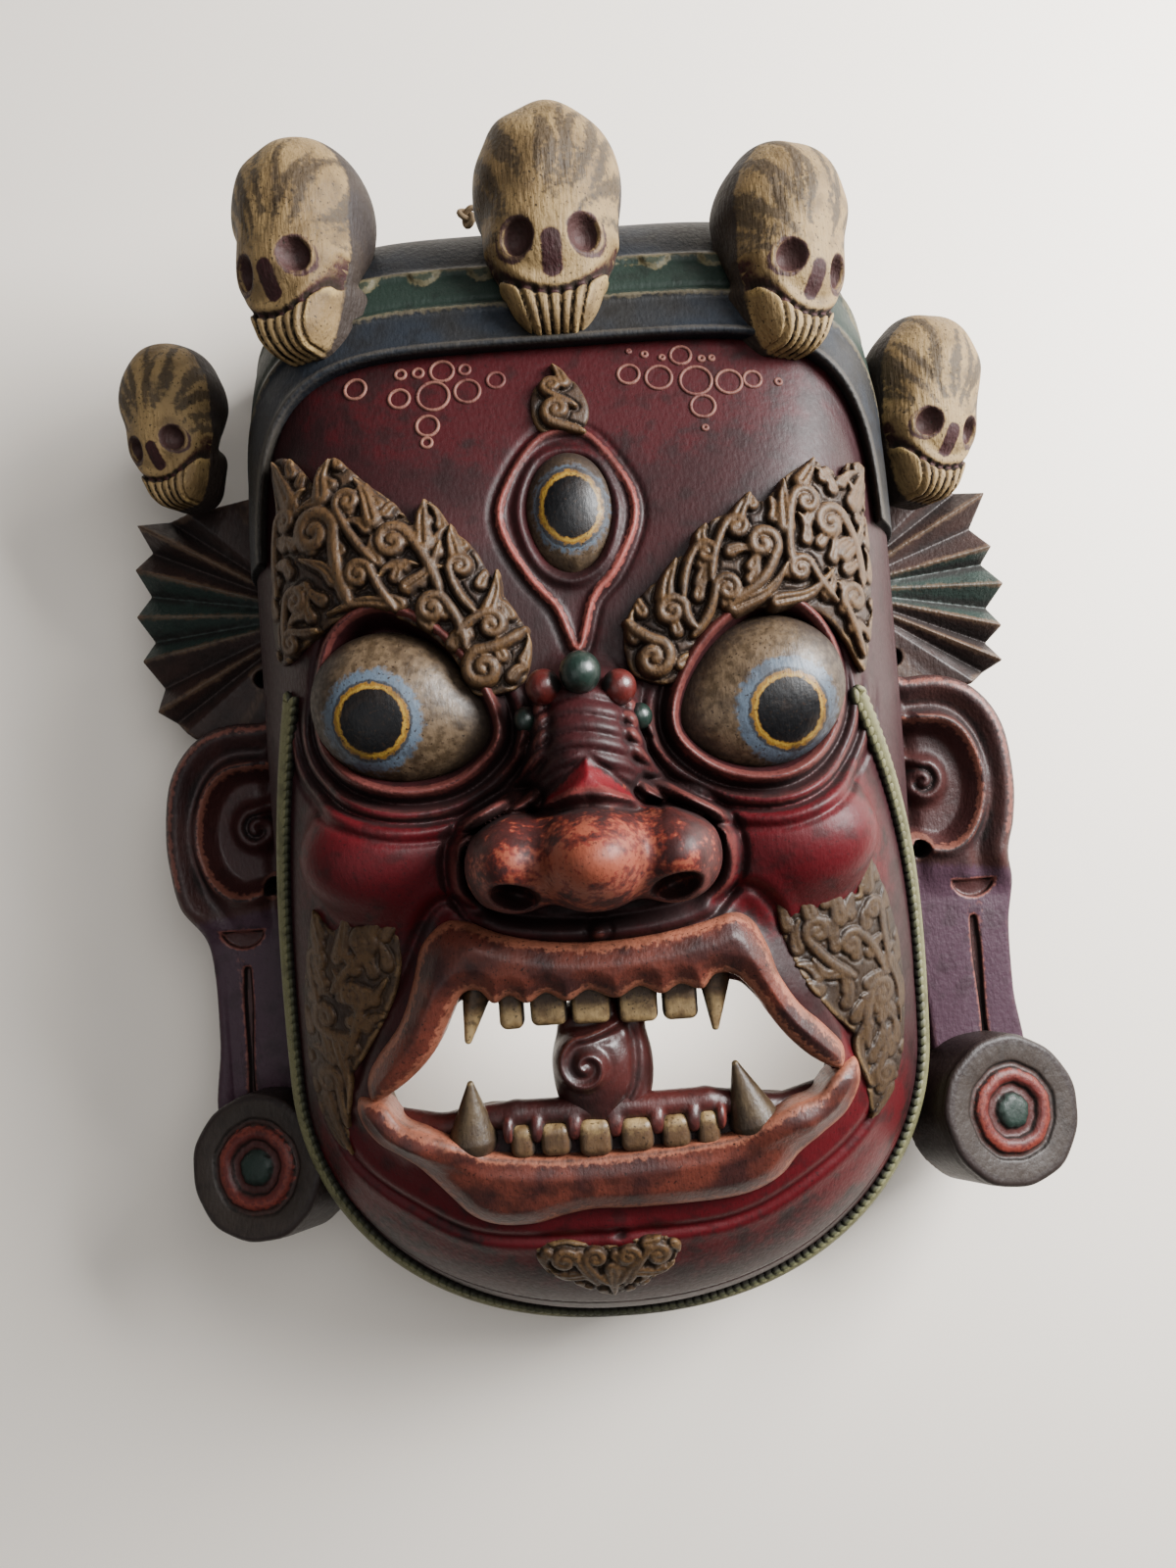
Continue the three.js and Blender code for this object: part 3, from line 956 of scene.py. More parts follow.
EYES = (
    Eye(
        "eye_left",
        (
            (-74, 21), (-68, 10), (-55, 4), (-41, 4), (-31, 9), (-25.5, 17.5), (-31, 33), (-42, 46),
            (-57, 51.5), (-70, 43),
        ),
        at=(-53.5, 25.5),
        half=(24.5, 21.5),
        iris=(-58.2, 21.5),
        inner=(Lump((-37.5, 19.5, -3), (14.5, 12, 10)),),
        turn=-22,
    ),
    Eye(
        "eye_right",
        (
            (27, 15), (33, 6.5), (43, 1.5), (55, 1), (66, 7), (72, 18), (71, 33), (63, 44), (52, 46.5),
            (39, 39), (30, 27),
        ),
        at=(52, 22.5),
        half=(24, 21.5),
        iris=(56.8, 16.5),
        inner=(Lump((38.5, 17.5, -3), (14, 12, 10)),),
        turn=28,
        rings=(14.8, 10.8, 9.0),
    ),
    Eye(
        "eye_third",
        ((0, 94.5), (8, 91), (12.5, 78), (8.5, 64), (0, 59), (-8.5, 64), (-12.5, 78), (-8, 91)),
        at=(0.5, 77),
        half=(13.5, 18.5),
        iris=(0.8, 78.0),
        rings=(11.0, 9.2, 7.6),
        tall=1.15,
        rise=7.0,
    ),
)


@dataclass
class Face:
    """Everything carved into the front of the block: lids, wrinkles, cheeks, nose and mouth."""

    eyes: tuple[Eye, ...] = EYES
    cheeks: tuple[Point, ...] = ((-60, -16), (58, -19))
    muzzle: tuple[Point, ...] = (
        (-38, -36), (38, -36), (62, -62), (76, -92), (60, -108), (-62, -108), (-78, -92), (-62, -62),
    )
    nose_y: float = -18.0
    nose_height: float = 158.0
    wing: float = 21.5  # how far out the nose's wings lie
    # The small beak that hangs over the bridge of the nose.
    beak: tuple[Point, ...] = (
        (-15, -6), (-9, -1.5), (-4.5, 2.5), (0, 6.5), (4.5, 2.5), (9.5, -2), (17.5, -7.5), (10, -6.5),
        (0, -5), (-8, -5.5),
    )
    # The roll that runs round the wing on the right side.
    wing_roll: tuple[Point, ...] = (
        (16, -3), (25, -4), (34, -9), (38.5, -18), (37.5, -29), (30, -37), (15, -40.5), (0, -41.5)
    )
    mouth: tuple[Point, ...] = (
        (-67.5, -88), (-55, -75), (-44, -60), (40, -60), (48, -70), (60, -83), (67, -90), (66, -96),
        (58, -99), (48, -97), (36, -95), (-26, -94), (-36, -94), (-47, -96), (-58, -99), (-65, -95),
    )
    # The bed that is sunk round the mouth for the gums.
    bed: tuple[Point, ...] = (
        (-47, -53.5), (0, -53), (44, -53.5), (50, -68), (62, -81), (69, -88), (69, -97), (58, -102),
        (40, -106), (34, -108.5), (-34, -108.5), (-42, -106), (-58, -102), (-69, -96), (-69, -86),
        (-60, -78), (-50, -68),
    )
    # The pointed frame round the third eye.
    lens: tuple[Point, ...] = (
        (0, 102), (7, 100), (14, 91), (18.5, 81), (18, 72), (12, 60), (5, 52), (0, 38),
        (-5, 50), (-12, 59), (-18, 70), (-19.5, 80), (-14, 92), (-7, 100),
    )
    # Where the paint is reddest: middle across and up, and half sizes.
    rosy: tuple[Point, ...] = (
        (-62, -18, 28, 21), (60, -22, 28, 22), (4, 116, 62, 20), (-66, -116, 30, 17), (68, -108, 26, 24),
        (0, -132, 54, 15),
    )
    # The creases beside the nose and over the chin.
    furrows: tuple[tuple[Point, ...], ...] = (
        ((-34, -34), (-43, -30), (-50, -36), (-58, -52), (-68, -68), (-76, -84)),
        ((34, -36), (43, -32), (50, -38), (57, -52), (67, -68), (74, -84)),
        ((-86, -98), (-78, -112), (-62, -124), (-40, -135), (0, -136)),
        ((0, -136), (36, -134), (62, -121), (78, -108), (86, -95)),
    )

    def relief(self, x: Array, y: Array) -> Array:
        """The broad relief, as heights over the smooth dome.

        Args:
            x: Places across.
            y: Places up.

        Returns:
            The heights in millimetres.
        """
        muzzle = to_outline(x, y, np.array(self.muzzle))
        brow_shelf = bell(y - 66, 26) * bell(np.abs(x) - 52, 32)
        temple = bell(np.abs(x) - 96, 14) * bell(y - 60, 50)
        return 4.5 * ease(-muzzle, -4, 8) + 3.0 * brow_shelf - 3.0 * temple

    def lines(self, x: Array, y: Array) -> Array:
        """The fine relief, as how far the skin stands out.

        Args:
            x: Places across.
            y: Places up.

        Returns:
            The distances in millimetres.
        """
        total = np.zeros(np.broadcast(x, y).shape)
        for eye in self.eyes[:2]:
            d = to_outline(x, y, eye.outline())
            lower = ease(y - eye.at[1], 8, -8)
            total += 5.6 * bell(d - 2.0, 2.3) - 8.0 * ease(-d, 0.0, 3)
            total -= 1.4 * bell(d - 5.6, 1.0)
            # The wrinkles under the eye: how far out, how high, and how wide.
            for out, height, width in (
                (8.2, 1.9, 1.8), (11.0, -1.4, 1.0), (13.4, 1.0, 1.6), (16.4, -0.9, 1.1)
            ):
                total += lower * height * bell(d - out, width)
        third = to_outline(x, y, self.eyes[2].outline())
        total += 2.0 * bell(third - 1.6, 1.8) - 2.5 * ease(-third, 0, 2)
        lens = to_outline(x, y, smooth_path(self.lens, 60, closed=True))
        total += 1.8 * bell(lens, 1.3) - 0.8 * bell(lens - 2.6, 1.0)
        for furrow in self.furrows:
            away, _ = to_path(x, y, smooth_path(furrow, 24))
            total += 0.6 * bell(away - 3.4, 2.4) - 1.2 * bell(away, 1.6)
        fold = y + x**2 / 46 + 0.5 * np.sin(x / 4)
        bridge = ease(np.abs(x), 22, 13) * ease(fold, 2, 7) * ease(fold, 30, 25)
        total += bridge * (1.15 * np.abs(np.sin(math.pi * fold / 4.6)) - 0.7)
        beak = to_outline(x, y, np.array(self.beak, dtype=float))
        total += 3.4 * ease(-beak, -0.6, 3.5) * ease(y, -9, -4) - 0.9 * bell(beak - 1.2, 0.9)
        for side in (-1, 1):
            wing, _ = to_path(x, y, smooth_path([(side * u, v) for u, v in self.wing_roll], 40))
            total += 1.8 * bell(wing, 2.2) - 1.3 * bell(wing - 3.4, 1.0)
        return total

    def carve(self, made: Carving) -> None:
        """Joins the face's solid features to the block and cuts its lines.

        Args:
            made: The block's carving.
        """
        y, top, wing = self.nose_y, self.nose_height, self.wing
        made.add([Lump((cx, cy, 98), (25, 19, 18)) for cx, cy in self.cheeks], 9.0)
        made.add([Lump((0, y + 25, 106), (19, 27, 28))], 7.0)
        made.add([Lump((0, y - 1, top - 37), (18, 15.5, 36))], 6.0)
        made.add([Lump((side * wing, y - 1.5, 117), (14.5, 14.5, 31), side * 16) for side in (-1, 1)], 5.0)
        lines = self.lines(made.x, made.y).astype(np.float32)
        made.field -= lines * ease(made.z, 20, 45)
        made.cut([Lump((side * 20.5, y - 10.5, 141), (7.2, 4.3, 15), side * 22) for side in (-1, 1)], 1.2)

    def open_mouth(self, made: Carving) -> None:
        """Cuts the mouth right through the wood.

        Args:
            made: The block's carving.
        """
        bed = to_outline(made.x, made.y, np.array(self.bed, dtype=float)).astype(np.float32)
        made.field = blend_cut(made.field, np.maximum(bed, 93 - made.z), 1.2)
        opening = to_outline(made.x, made.y, np.array(self.mouth, dtype=float)).astype(np.float32)
        made.field = blend_cut(made.field, np.maximum(opening, 10 - made.z), 1.5)

    def notes(self, points: Array) -> dict[str, Array]:
        """The numbers that the face's paint reads.

        Args:
            points: Places in millimetres.

        Returns:
            Each number's name with its values.
        """
        x, y, z = points.T
        lids = np.minimum(*(to_outline(x, y, eye.outline()) for eye in self.eyes[:2]))
        tip = np.hypot(x / 34, (y + 19.5) / 15) * 14 - 14
        beak = to_outline(x, y, np.array(self.beak, dtype=float))
        rosy = [(np.hypot((x - cx) / rx, (y - cy) / ry) - 1) * min(rx, ry) for cx, cy, rx, ry in self.rosy]
        return {
            "rosy": np.min(rosy, axis=0),
            "temple": 84 + 12 * ease(-y, -10, 60) - np.abs(x),
            "forehead": 84 - y,
            "lid": np.where(z > 85, lids, FAR),
            "lens": np.where(z > 80, to_outline(x, y, smooth_path(self.lens, 60, closed=True)), FAR),
            "nose": np.where(z > 118, tip, FAR),
            "beak": np.where(z > 118, beak, FAR),
        }

    def paint(self) -> Paint:
        """The face's crimson with its painted lines, over bare wood inside.

        Returns:
            The finish.
        """
        marks = (
            Mark("rosy", "470910", below=1.0, soft=7.0, wobble=3.0, blot=9.0),
            Mark("lid", "2c1315", below=6.5, soft=2.5, wobble=2.0, strength=0.8),
            Mark("lid", "6e3a33", above=1.6, below=3.2, wobble=1.2, blot=1.0, strength=0.4),
            Mark("lens", "8a4840", above=-1.2, below=1.2, wobble=0.5, strength=0.8),
            Mark("nose", "3c1a18", below=2.0, soft=2.0, wobble=1.0, blot=3.0, strength=0.9),
            Mark("temple", "2c1619", below=0.0, soft=4.0, wobble=2.0, blot=3.0, strength=0.9),
            Mark("forehead", "230e10", below=0.0, soft=12.0, wobble=3.0, blot=7.0, strength=0.6),
            Mark("nose", "6a2a20", below=-4.0, soft=2.5, wobble=5.0, blot=7.0, strength=0.85),
            Mark("nose", "7d4230", below=-7.5, soft=1.8, wobble=8.0, blot=9.0, strength=0.8),
            Mark("beak", "5c0d15", below=0.0, soft=0.6, wobble=0.5),
            Mark("inside", "4e3824", above=0.0, below=1e6, soft=0.8, wobble=0.5),
        )
        return Paint(
            "crimson_distemper", "301113", "220f10", worn="643530", dirt_and_shade_colour="190c0c", marks=marks, roughness=0.5,
            coat=0.08, grime=0.8, speckle=0.6, bump=0.28, specular=0.2, smoke=0.5,
        )


# ---- Relief laid over the face --------------------------------------------------------------------------


def over_face(block: Block, face: Face, x: Array, y: Array) -> Array:
    """The height of the face's broad relief over the rim."""
    return block.smooth_height(x, y) + face.relief(x, y)


@dataclass(frozen=True)
class Scroll:
    """A raised tendril that winds up into a coil."""

    at: Point  # the coil's middle
    radius: float
    root: Point  # where the tendril springs from
    hand: int = 1  # 1 winds leftwards as it goes, -1 rightwards
    bow: float = 2.0  # how far the tendril bends sideways on its way
    turns: float = 1.3  # how often the coil goes round
    close: float = 0.86  # how far the coil closes in, as a share of its radius

    def path(self) -> Array:
        """The tendril's middle line, from its root to the heart of its coil.

        Returns:
            The line's points.
        """
        at, root, ring = np.array(self.at), np.array(self.root), self.radius * 0.8
        away = root - at
        entry = math.atan2(away[1], away[0]) + self.hand * math.acos(min(0.98, ring / math.hypot(*away)))
        turn = np.linspace(0, self.turns * 2 * math.pi, 40)
        shrink = ring * (1 - self.close * turn / turn[-1])
        angle = entry + self.hand * turn
        coil = at + np.stack([shrink * np.cos(angle), shrink * np.sin(angle)], axis=1)
        run = coil[0] - root
        middle = (root + coil[0]) / 2 + self.bow * np.array([-run[1], run[0]]) / (math.hypot(*run) + 1e-6)
        t = np.linspace(0, 1, 12)[:-1, None]
        return np.vstack([(1 - t) ** 2 * root + 2 * t * (1 - t) * middle + t**2 * coil[0], coil])

    def width(self, along: Array) -> Array:
        """Half the tendril's width at lengths along it."""
        return (0.5 + self.radius * 0.215) * ease(along, -4, 3)


@dataclass(frozen=True)
class Flame:
    """A raised flame or leaf, widest at its root."""

    spine: tuple[Point, ...]
    half: float = 3.0

    def path(self) -> Array:
        """Its middle line from root to tip."""
        return smooth_path(self.spine, 10)

    def width(self, along: Array) -> Array:
        """Half its width at lengths along it."""
        total = float(np.sum(np.hypot(*np.diff(self.path(), axis=0).T)))
        return self.half * (1 - np.clip(along / total, 0, 1)) ** 0.7 + 0.15


@dataclass
class Overlay:
    """Carving that stands on the front of the face within an outline, with raised tendrils and flames."""

    name: str
    outline: tuple[Point, ...]
    paint: Paint
    strokes: tuple[Scroll | Flame, ...] = ()
    base: float = 4.6  # how far its ground stands over the face
    swell: float = 1.0  # how much further the middle of its ground stands
    rise: float = 2.2  # how far its tendrils stand over its ground
    depth: float = 6.0  # how far it reaches into the wood
    edge: float = 1.4  # how round its edges are
    step: float = 0.45
    triangles: int = 66_000
    groove: float = 0.9  # how deep the cut round each tendril is
    source: Point | None = None  # where the small flames that fill the ground spread from
    gap: float = 5.0  # how far apart their roots are

    def corners(self) -> Array:
        """The outline as a smooth closed curve."""
        return smooth_path(self.outline, 5 * len(self.outline), closed=True)

    def _leaves(self) -> list[Flame]:
        """Small curling flames that fill the ground between the strokes.

        Returns:
            The flames, none where there is no source.
        """
        if self.source is None:
            return []
        chance, corners = np.random.default_rng(SEED + len(self.outline)), self.corners()
        roots = chance.uniform(corners.min(axis=0), corners.max(axis=0), (1600, 2))
        roots = roots[to_outline(*roots.T, corners) < -1.6]
        taken = [point for stroke in self.strokes for point in stroke.path()[::2]]
        leaves = []
        for root in roots:
            clear = [math.dist(root, leaf.spine[0]) > self.gap for leaf in leaves]
            if not all(clear) or min(math.dist(root, point) for point in taken) < 0.5 * self.gap:
                continue
            away = math.atan2(root[1] - self.source[1], root[0] - self.source[0]) + chance.uniform(-0.7, 0.7)
            turns = away + chance.choice([-1, 1]) * chance.uniform(0.9, 1.9) * np.linspace(0, 1, 5)
            steps = 0.42 * self.gap * np.stack([np.cos(turns), np.sin(turns)], axis=1)
            leaves.append(Flame(tuple(map(tuple, root + np.cumsum(steps, axis=0))), 0.4 * self.gap))
        return leaves

    def _shape(self, x: Array, y: Array) -> tuple[Array, Array, Array]:
        """The distance to the edge, the height over the face, and the distance to the nearest stroke.

        Args:
            x: Places across.
            y: Places up.

        Returns:
            The three numbers for each place.
        """
        away = to_outline(x, y, self.corners())
        height = self.base + self.swell * ease(-away, 0, 7)
        ground, nearest, beyond = height, np.full(away.shape, FAR), away
        leaves = self._leaves()
        for stroke in (*self.strokes, *leaves):
            middle, along = to_path(x, y, stroke.path())
            width = stroke.width(along)
            top = self.rise * np.sqrt(np.clip(1 - (middle / (width + 0.25)) ** 2, 0, 1))
            if isinstance(stroke, Flame):
                top = top * (1 - 0.3 * bell(middle, 0.55) * ease(width, 0.8, 1.6))
            if stroke in leaves:
                top = 0.75 * top
            else:
                beyond = np.minimum(beyond, middle - width - 0.4)
            height = np.maximum(height, ground + top)
            nearest = np.minimum(nearest, middle - width)
        height = height - self.groove * bell(nearest - 0.4, 0.55)
        return beyond, height, nearest

    def build(self, block: Block, face: Face) -> bpy.types.Object:
        """Carves and paints the overlay.

        Args:
            block: The block that it stands on.
            face: The face's broad relief, which it follows.

        Returns:
            The finished piece.
        """
        edges = np.vstack([np.array(self.outline, dtype=float), *(stroke.path() for stroke in self.strokes)])
        low, high = edges.min(axis=0) - 4, edges.max(axis=0) + 4
        probe = np.ix_(np.linspace(low[0], high[0], 40), np.linspace(low[1], high[1], 40))
        ground = over_face(block, face, *probe)
        tall = self.base + self.swell + self.rise + 2
        bottom, top = max(6.0, float(ground.min()) - self.depth - 1), float(ground.max()) + tall
        made = Carving((*low, bottom), (*high, top), self.step)
        ground = over_face(block, face, made.x, made.y)
        away, height, _ = self._shape(made.x, made.y)
        made.field = blend_cut(made.below(ground + height, 3), -away, self.edge).astype(np.float32)
        made.trim(ground - self.depth - made.z)
        piece, (x, y, _) = carve_piece(self.name, made, self.triangles, 1.4)
        dress(piece, self.paint, rim=to_outline(x, y, self.corners()), stroke=self._shape(x, y)[2])
        return piece


BROWS = (
    Overlay(
        "brow_left",
        (
            (-15, 31), (-21, 27), (-30, 27.5), (-35, 38), (-43, 46), (-55, 52), (-67, 51), (-78, 46),
            (-89, 42), (-92, 56), (-89, 72), (-87, 88), (-88, 102), (-80, 101), (-71, 90), (-68.5, 97),
            (-65, 98), (-58, 91), (-49, 83), (-43, 76), (-40.5, 83), (-37, 81), (-32, 73), (-27, 68),
            (-22, 58), (-17, 50), (-13, 41),
        ),
        GOLD,
        (
            Scroll((-72.8, 76.5), 8.3, (-63, 55), 1, 3), Scroll((-59.8, 62.6), 4.8, (-50, 52), 1, 1),
            Scroll((-49.5, 70.9), 6.2, (-37, 56), 1, -2), Scroll((-62, 84), 4.6, (-55, 66), -1, 2),
            Scroll((-80.5, 58.4), 4.8, (-86, 48), -1, 1), Scroll((-83.5, 47.0), 4.0, (-74, 49), 1, 1),
            Scroll((-31, 62.6), 4.2, (-28, 50), -1, 2), Scroll((-39.5, 51.4), 5.4, (-31, 40), 1, -2),
            Scroll((-23.6, 45.9), 5.0, (-33, 44), -1, 1), Scroll((-26.5, 34.0), 6.6, (-14.5, 44), 1, 2),
            Scroll((-83, 82), 4.6, (-88, 62), -1, 2),
            Flame(((-81, 88), (-84, 95), (-87, 102)), 3.4), Flame(((-70, 87), (-70, 93), (-67, 98)), 3.2),
            Flame(((-55, 78), (-57, 86), (-60, 91)), 3.0),
            Flame(((-41, 70), (-41, 77), (-40, 83)), 3.4), Flame(((-32, 66), (-33, 71), (-33, 75)), 2.6),
            Flame(((-24, 50), (-22, 55), (-21, 61)), 2.6),
            Flame(((-46, 58), (-40, 62), (-36, 70)), 2.4), Flame(((-67, 62), (-70, 66), (-78, 70)), 2.2),
            Flame(((-52, 54), (-60, 55), (-70, 53)), 2.0),
        ),
        rise=2.8, source=(-20, 14),
    ),
    Overlay(
        "brow_right",
        (
            (14, 31), (20, 27), (27, 27), (32, 36), (40, 43), (55, 46), (68, 44), (77, 36), (83, 27),
            (86, 34), (88.5, 48), (89, 62), (88, 76), (89, 88), (83, 89), (79, 84), (71, 88.5), (68, 87),
            (62, 83), (55, 76), (50, 78), (46, 74), (38, 70), (33, 63), (29, 61), (24, 56), (17, 50),
            (13, 42),
        ),
        GOLD,
        (
            Scroll((66.7, 75.1), 5.2, (61, 57), -1, 2), Scroll((74, 69), 6.4, (84, 52), 1, -3),
            Scroll((52.8, 63), 6.0, (44, 48), 1, -4), Scroll((63.5, 55.6), 4.4, (74, 47), 1, 1),
            Scroll((42.3, 51), 4.6, (32, 39), -1, -3), Scroll((46, 68), 4.2, (38, 54), -1, 2),
            Scroll((37, 61.5), 4.2, (30, 50), -1, 2), Scroll((80.5, 48), 5.2, (83, 32), -1, -1),
            Scroll((26.4, 46), 5.2, (33, 41), 1, 2), Scroll((20.5, 33.5), 6.3, (14, 44), -1, -2),
            Flame(((83, 76), (86, 82), (88.5, 88)), 3.2), Flame(((66, 81), (69, 85), (71, 88.5)), 2.6),
            Flame(((60, 68), (60, 75), (61, 82)), 3.0),
            Flame(((46, 70), (48, 74), (51, 78)), 2.6), Flame(((36, 64), (36, 67), (38, 70)), 2.4),
            Flame(((25, 50), (26, 55), (29, 61)), 2.8),
            Flame(((44, 46), (54, 50), (60, 58)), 2.6), Flame(((78, 60), (84, 66), (86, 74)), 2.4),
            Flame(((56, 47), (66, 49), (74, 56)), 2.2),
        ),
        rise=2.8, source=(20, 14),
    ),
)
BEARD = (
    Overlay(
        "beard_left",
        (
            (-59, -31), (-57, -42), (-58.5, -53), (-63, -63), (-71, -75), (-79, -87), (-80, -106),
            (-86, -104), (-91, -92), (-93, -76), (-92, -58), (-89, -44), (-85, -32), (-78, -38), (-72, -29),
        ),
        GOLD,
        (
            Scroll((-69, -41), 5.2, (-80, -56), 1, 2), Scroll((-84, -64), 5.4, (-74, -70), -1, 2),
            Scroll((-85, -84), 5.0, (-80, -98), 1, 1), Scroll((-74, -57), 4.4, (-78, -76), 1, -2),
            Scroll((-85, -47), 4.2, (-86, -60), -1, 1),
            Flame(((-66, -38), (-63, -34), (-63, -30)), 2.4),
            Flame(((-76, -44), (-74, -36), (-72, -29)), 2.6),
            Flame(((-84, -42), (-85, -38), (-85, -32)), 2.2),
            Flame(((-86, -90), (-84, -98), (-80, -108)), 2.6),
            Flame(((-72, -60), (-67, -58), (-62, -52)), 2.0),
            Flame(((-80, -72), (-78, -84), (-79, -94)), 2.2),
        ),
        base=1.3, swell=0.7, rise=1.0, groove=0.5, source=(-70, -130), gap=5.2, triangles=50_000,
    ),
    Overlay(
        "beard_right",
        (
            (53, -31), (51.5, -41), (54, -52), (58.5, -62), (66, -72), (75, -83), (79, -107), (86, -104),
            (91.5, -92), (94, -76), (93, -58), (89, -42), (84, -30), (81, -19), (78, -30), (76, -38),
            (70, -28),
        ),
        DARKER_GOLD,
        (
            Scroll((63, -47), 5.0, (74, -62), -1, 2), Scroll((84, -69), 5.4, (78, -84), -1, 2),
            Scroll((84.5, -94), 4.6, (86, -80), 1, 1), Scroll((74, -52), 4.6, (84, -60), 1, -2),
            Scroll((82, -43), 3.8, (87, -58), 1, 1),
            Flame(((61, -42), (59, -36), (58, -30)), 2.4), Flame(((70, -44), (69, -36), (70, -28)), 2.8),
            Flame(((80, -36), (81, -28), (81, -19)), 2.6),
            Flame(((86, -100), (83, -104), (79, -108)), 2.0), Flame(((70, -60), (65, -60), (61, -55)), 2.0),
            Flame(((78, -78), (75, -84), (78, -96)), 2.2),
            Flame(((88, -60), (91, -68), (91, -80)), 2.0),
        ),
        base=1.3, swell=0.7, rise=1.0, groove=0.5, source=(70, -130), gap=5.2, triangles=50_000,
    ),
    Overlay(
        "chin_tuft",
        (
            (-26, -140), (-17, -137), (-8, -139), (0, -139), (9, -137), (18, -140), (16, -148), (11, -153),
            (5, -158), (-3, -161), (-10, -158), (-16, -154), (-23, -149),
        ),
        GOLD,
        (
            Scroll((-17.5, -144), 4.8, (-8, -154), 1, 1), Scroll((-8, -143.5), 4.2, (-5, -154), -1, 1),
            Scroll((2, -143.5), 4.2, (-1, -154), 1, 1), Scroll((11, -144), 4.8, (2, -154), -1, 1),
            Flame(((-3, -148), (-3, -154), (-3, -161)), 2.8),
            Flame(((-11, -150), (-17, -151), (-22, -148)), 2.0),
            Flame(((5, -150), (11, -151), (16, -148)), 2.0),
        ),
        base=1.6, rise=1.7, triangles=22_000, source=(-3, -130), gap=4.4,
    ),
    Overlay(
        "brow_tuft",
        ((-6, 102), (5, 102), (8, 109), (3, 119), (-5, 119), (-9, 111)),
        GOLD,
        (
            Scroll((-1.5, 108), 4.8, (6, 101), -1, 0), Scroll((-2.5, 116), 3.4, (4, 109), -1, 0),
            Flame(((1, 117), (0, 120), (-2, 123)), 2.2),
        ),
        base=1.4, rise=2.2, triangles=10_000,
    ),
)
# Salmon paint over dark red, worn through to pale wood along the edges of the lips.
LIP_PAINT = Paint(
    "salmon_lip_paint", "57291f", "301715", worn="925a44", dirt_and_shade_colour="1a0d0b", roughness=0.45, coat=0.1, wear=0.8,
    speckle=0.9, patch_size=14.0, smoke=0.5,
    marks=(Mark("rim", "9a5f48", above=-2.0, below=1.0, wobble=1.2, soft=0.7, strength=0.6),),
)
LIPS = (
    Overlay(
        "upper_lip",
        (
            (-71, -82), (-67, -75), (-59, -65), (-54.5, -54), (-51, -43), (-44, -36.5), (-37, -36.5),
            (-27, -40.5), (-14, -43.5), (0, -44.5), (16, -43.5), (30, -41), (38, -39), (44, -42), (48, -50),
            (50.5, -58), (56, -67), (63, -74), (69.5, -82), (68, -88), (60, -84), (53, -77.5), (48, -71),
            (43.5, -63.5), (38, -57), (32, -56), (28, -60), (22, -58), (16.5, -60.5), (10.4, -57.8),
            (3.5, -60.8), (-4, -57.8), (-10.2, -60.8), (-16, -57.8), (-21.5, -60.5), (-26.5, -58),
            (-31, -60), (-35, -56), (-40, -57), (-44.5, -65), (-48, -71.5), (-53, -77.5), (-59.5, -83),
            (-66, -87), (-70, -88),
        ),
        LIP_PAINT, base=3.5, swell=3.0, edge=3.0, depth=12, triangles=20_000,
    ),
    Overlay(
        "lower_lip",
        (
            (73, -86), (75, -94), (70.5, -103), (62, -109), (55, -114), (50, -120), (43, -124), (34, -126),
            (18, -126.5), (4, -126.5), (-7, -126), (-16, -127.5), (-25, -130), (-36, -130), (-44, -126.5),
            (-50, -119.5), (-56, -112.5), (-62, -107), (-70, -103), (-75, -96), (-74.5, -88), (-66, -89),
            (-61, -95), (-53, -98), (-42, -103), (-36, -106), (-18, -108), (0, -108), (20, -107), (36, -105),
            (44, -101), (52, -97), (60, -95), (65, -90),
        ),
        LIP_PAINT, base=3.5, swell=3.0, edge=3.0, depth=12, triangles=20_000,
    ),
)


# ---- The mouth ------------------------------------------------------------------------------------------

# Yellow bone paint with the shine of varnish, brown at the roots; the fangs are darker.
TOOTH_BONE = Paint(
    "tooth_bone", "8c7550", "5e4a30", worn="a08a5e", dirt_and_shade_colour="1c130c", roughness=0.42, coat=0.15, speckle=0.8,
    patch_size=5.0,
    marks=(
        Mark("root", "3f2b1c", above=-2.5, below=9.0, soft=2.5, wobble=1.5, strength=0.9),
        Mark("fang", "2a2017", below=0.5, soft=1.0, wobble=1.5, blot=1.0, strength=0.85),
    ),
)
# Thick dark red paint that still shines, as if it were wet.
GUM_RED = Paint("gum_red", "431a17", "2c1110", worn="6a322b", roughness=0.4, coat=0.3, speckle=0.6)
TONGUE_RED = Paint("tongue_red", "3c1917", "291110", worn="6a3b32", roughness=0.35, coat=0.4)


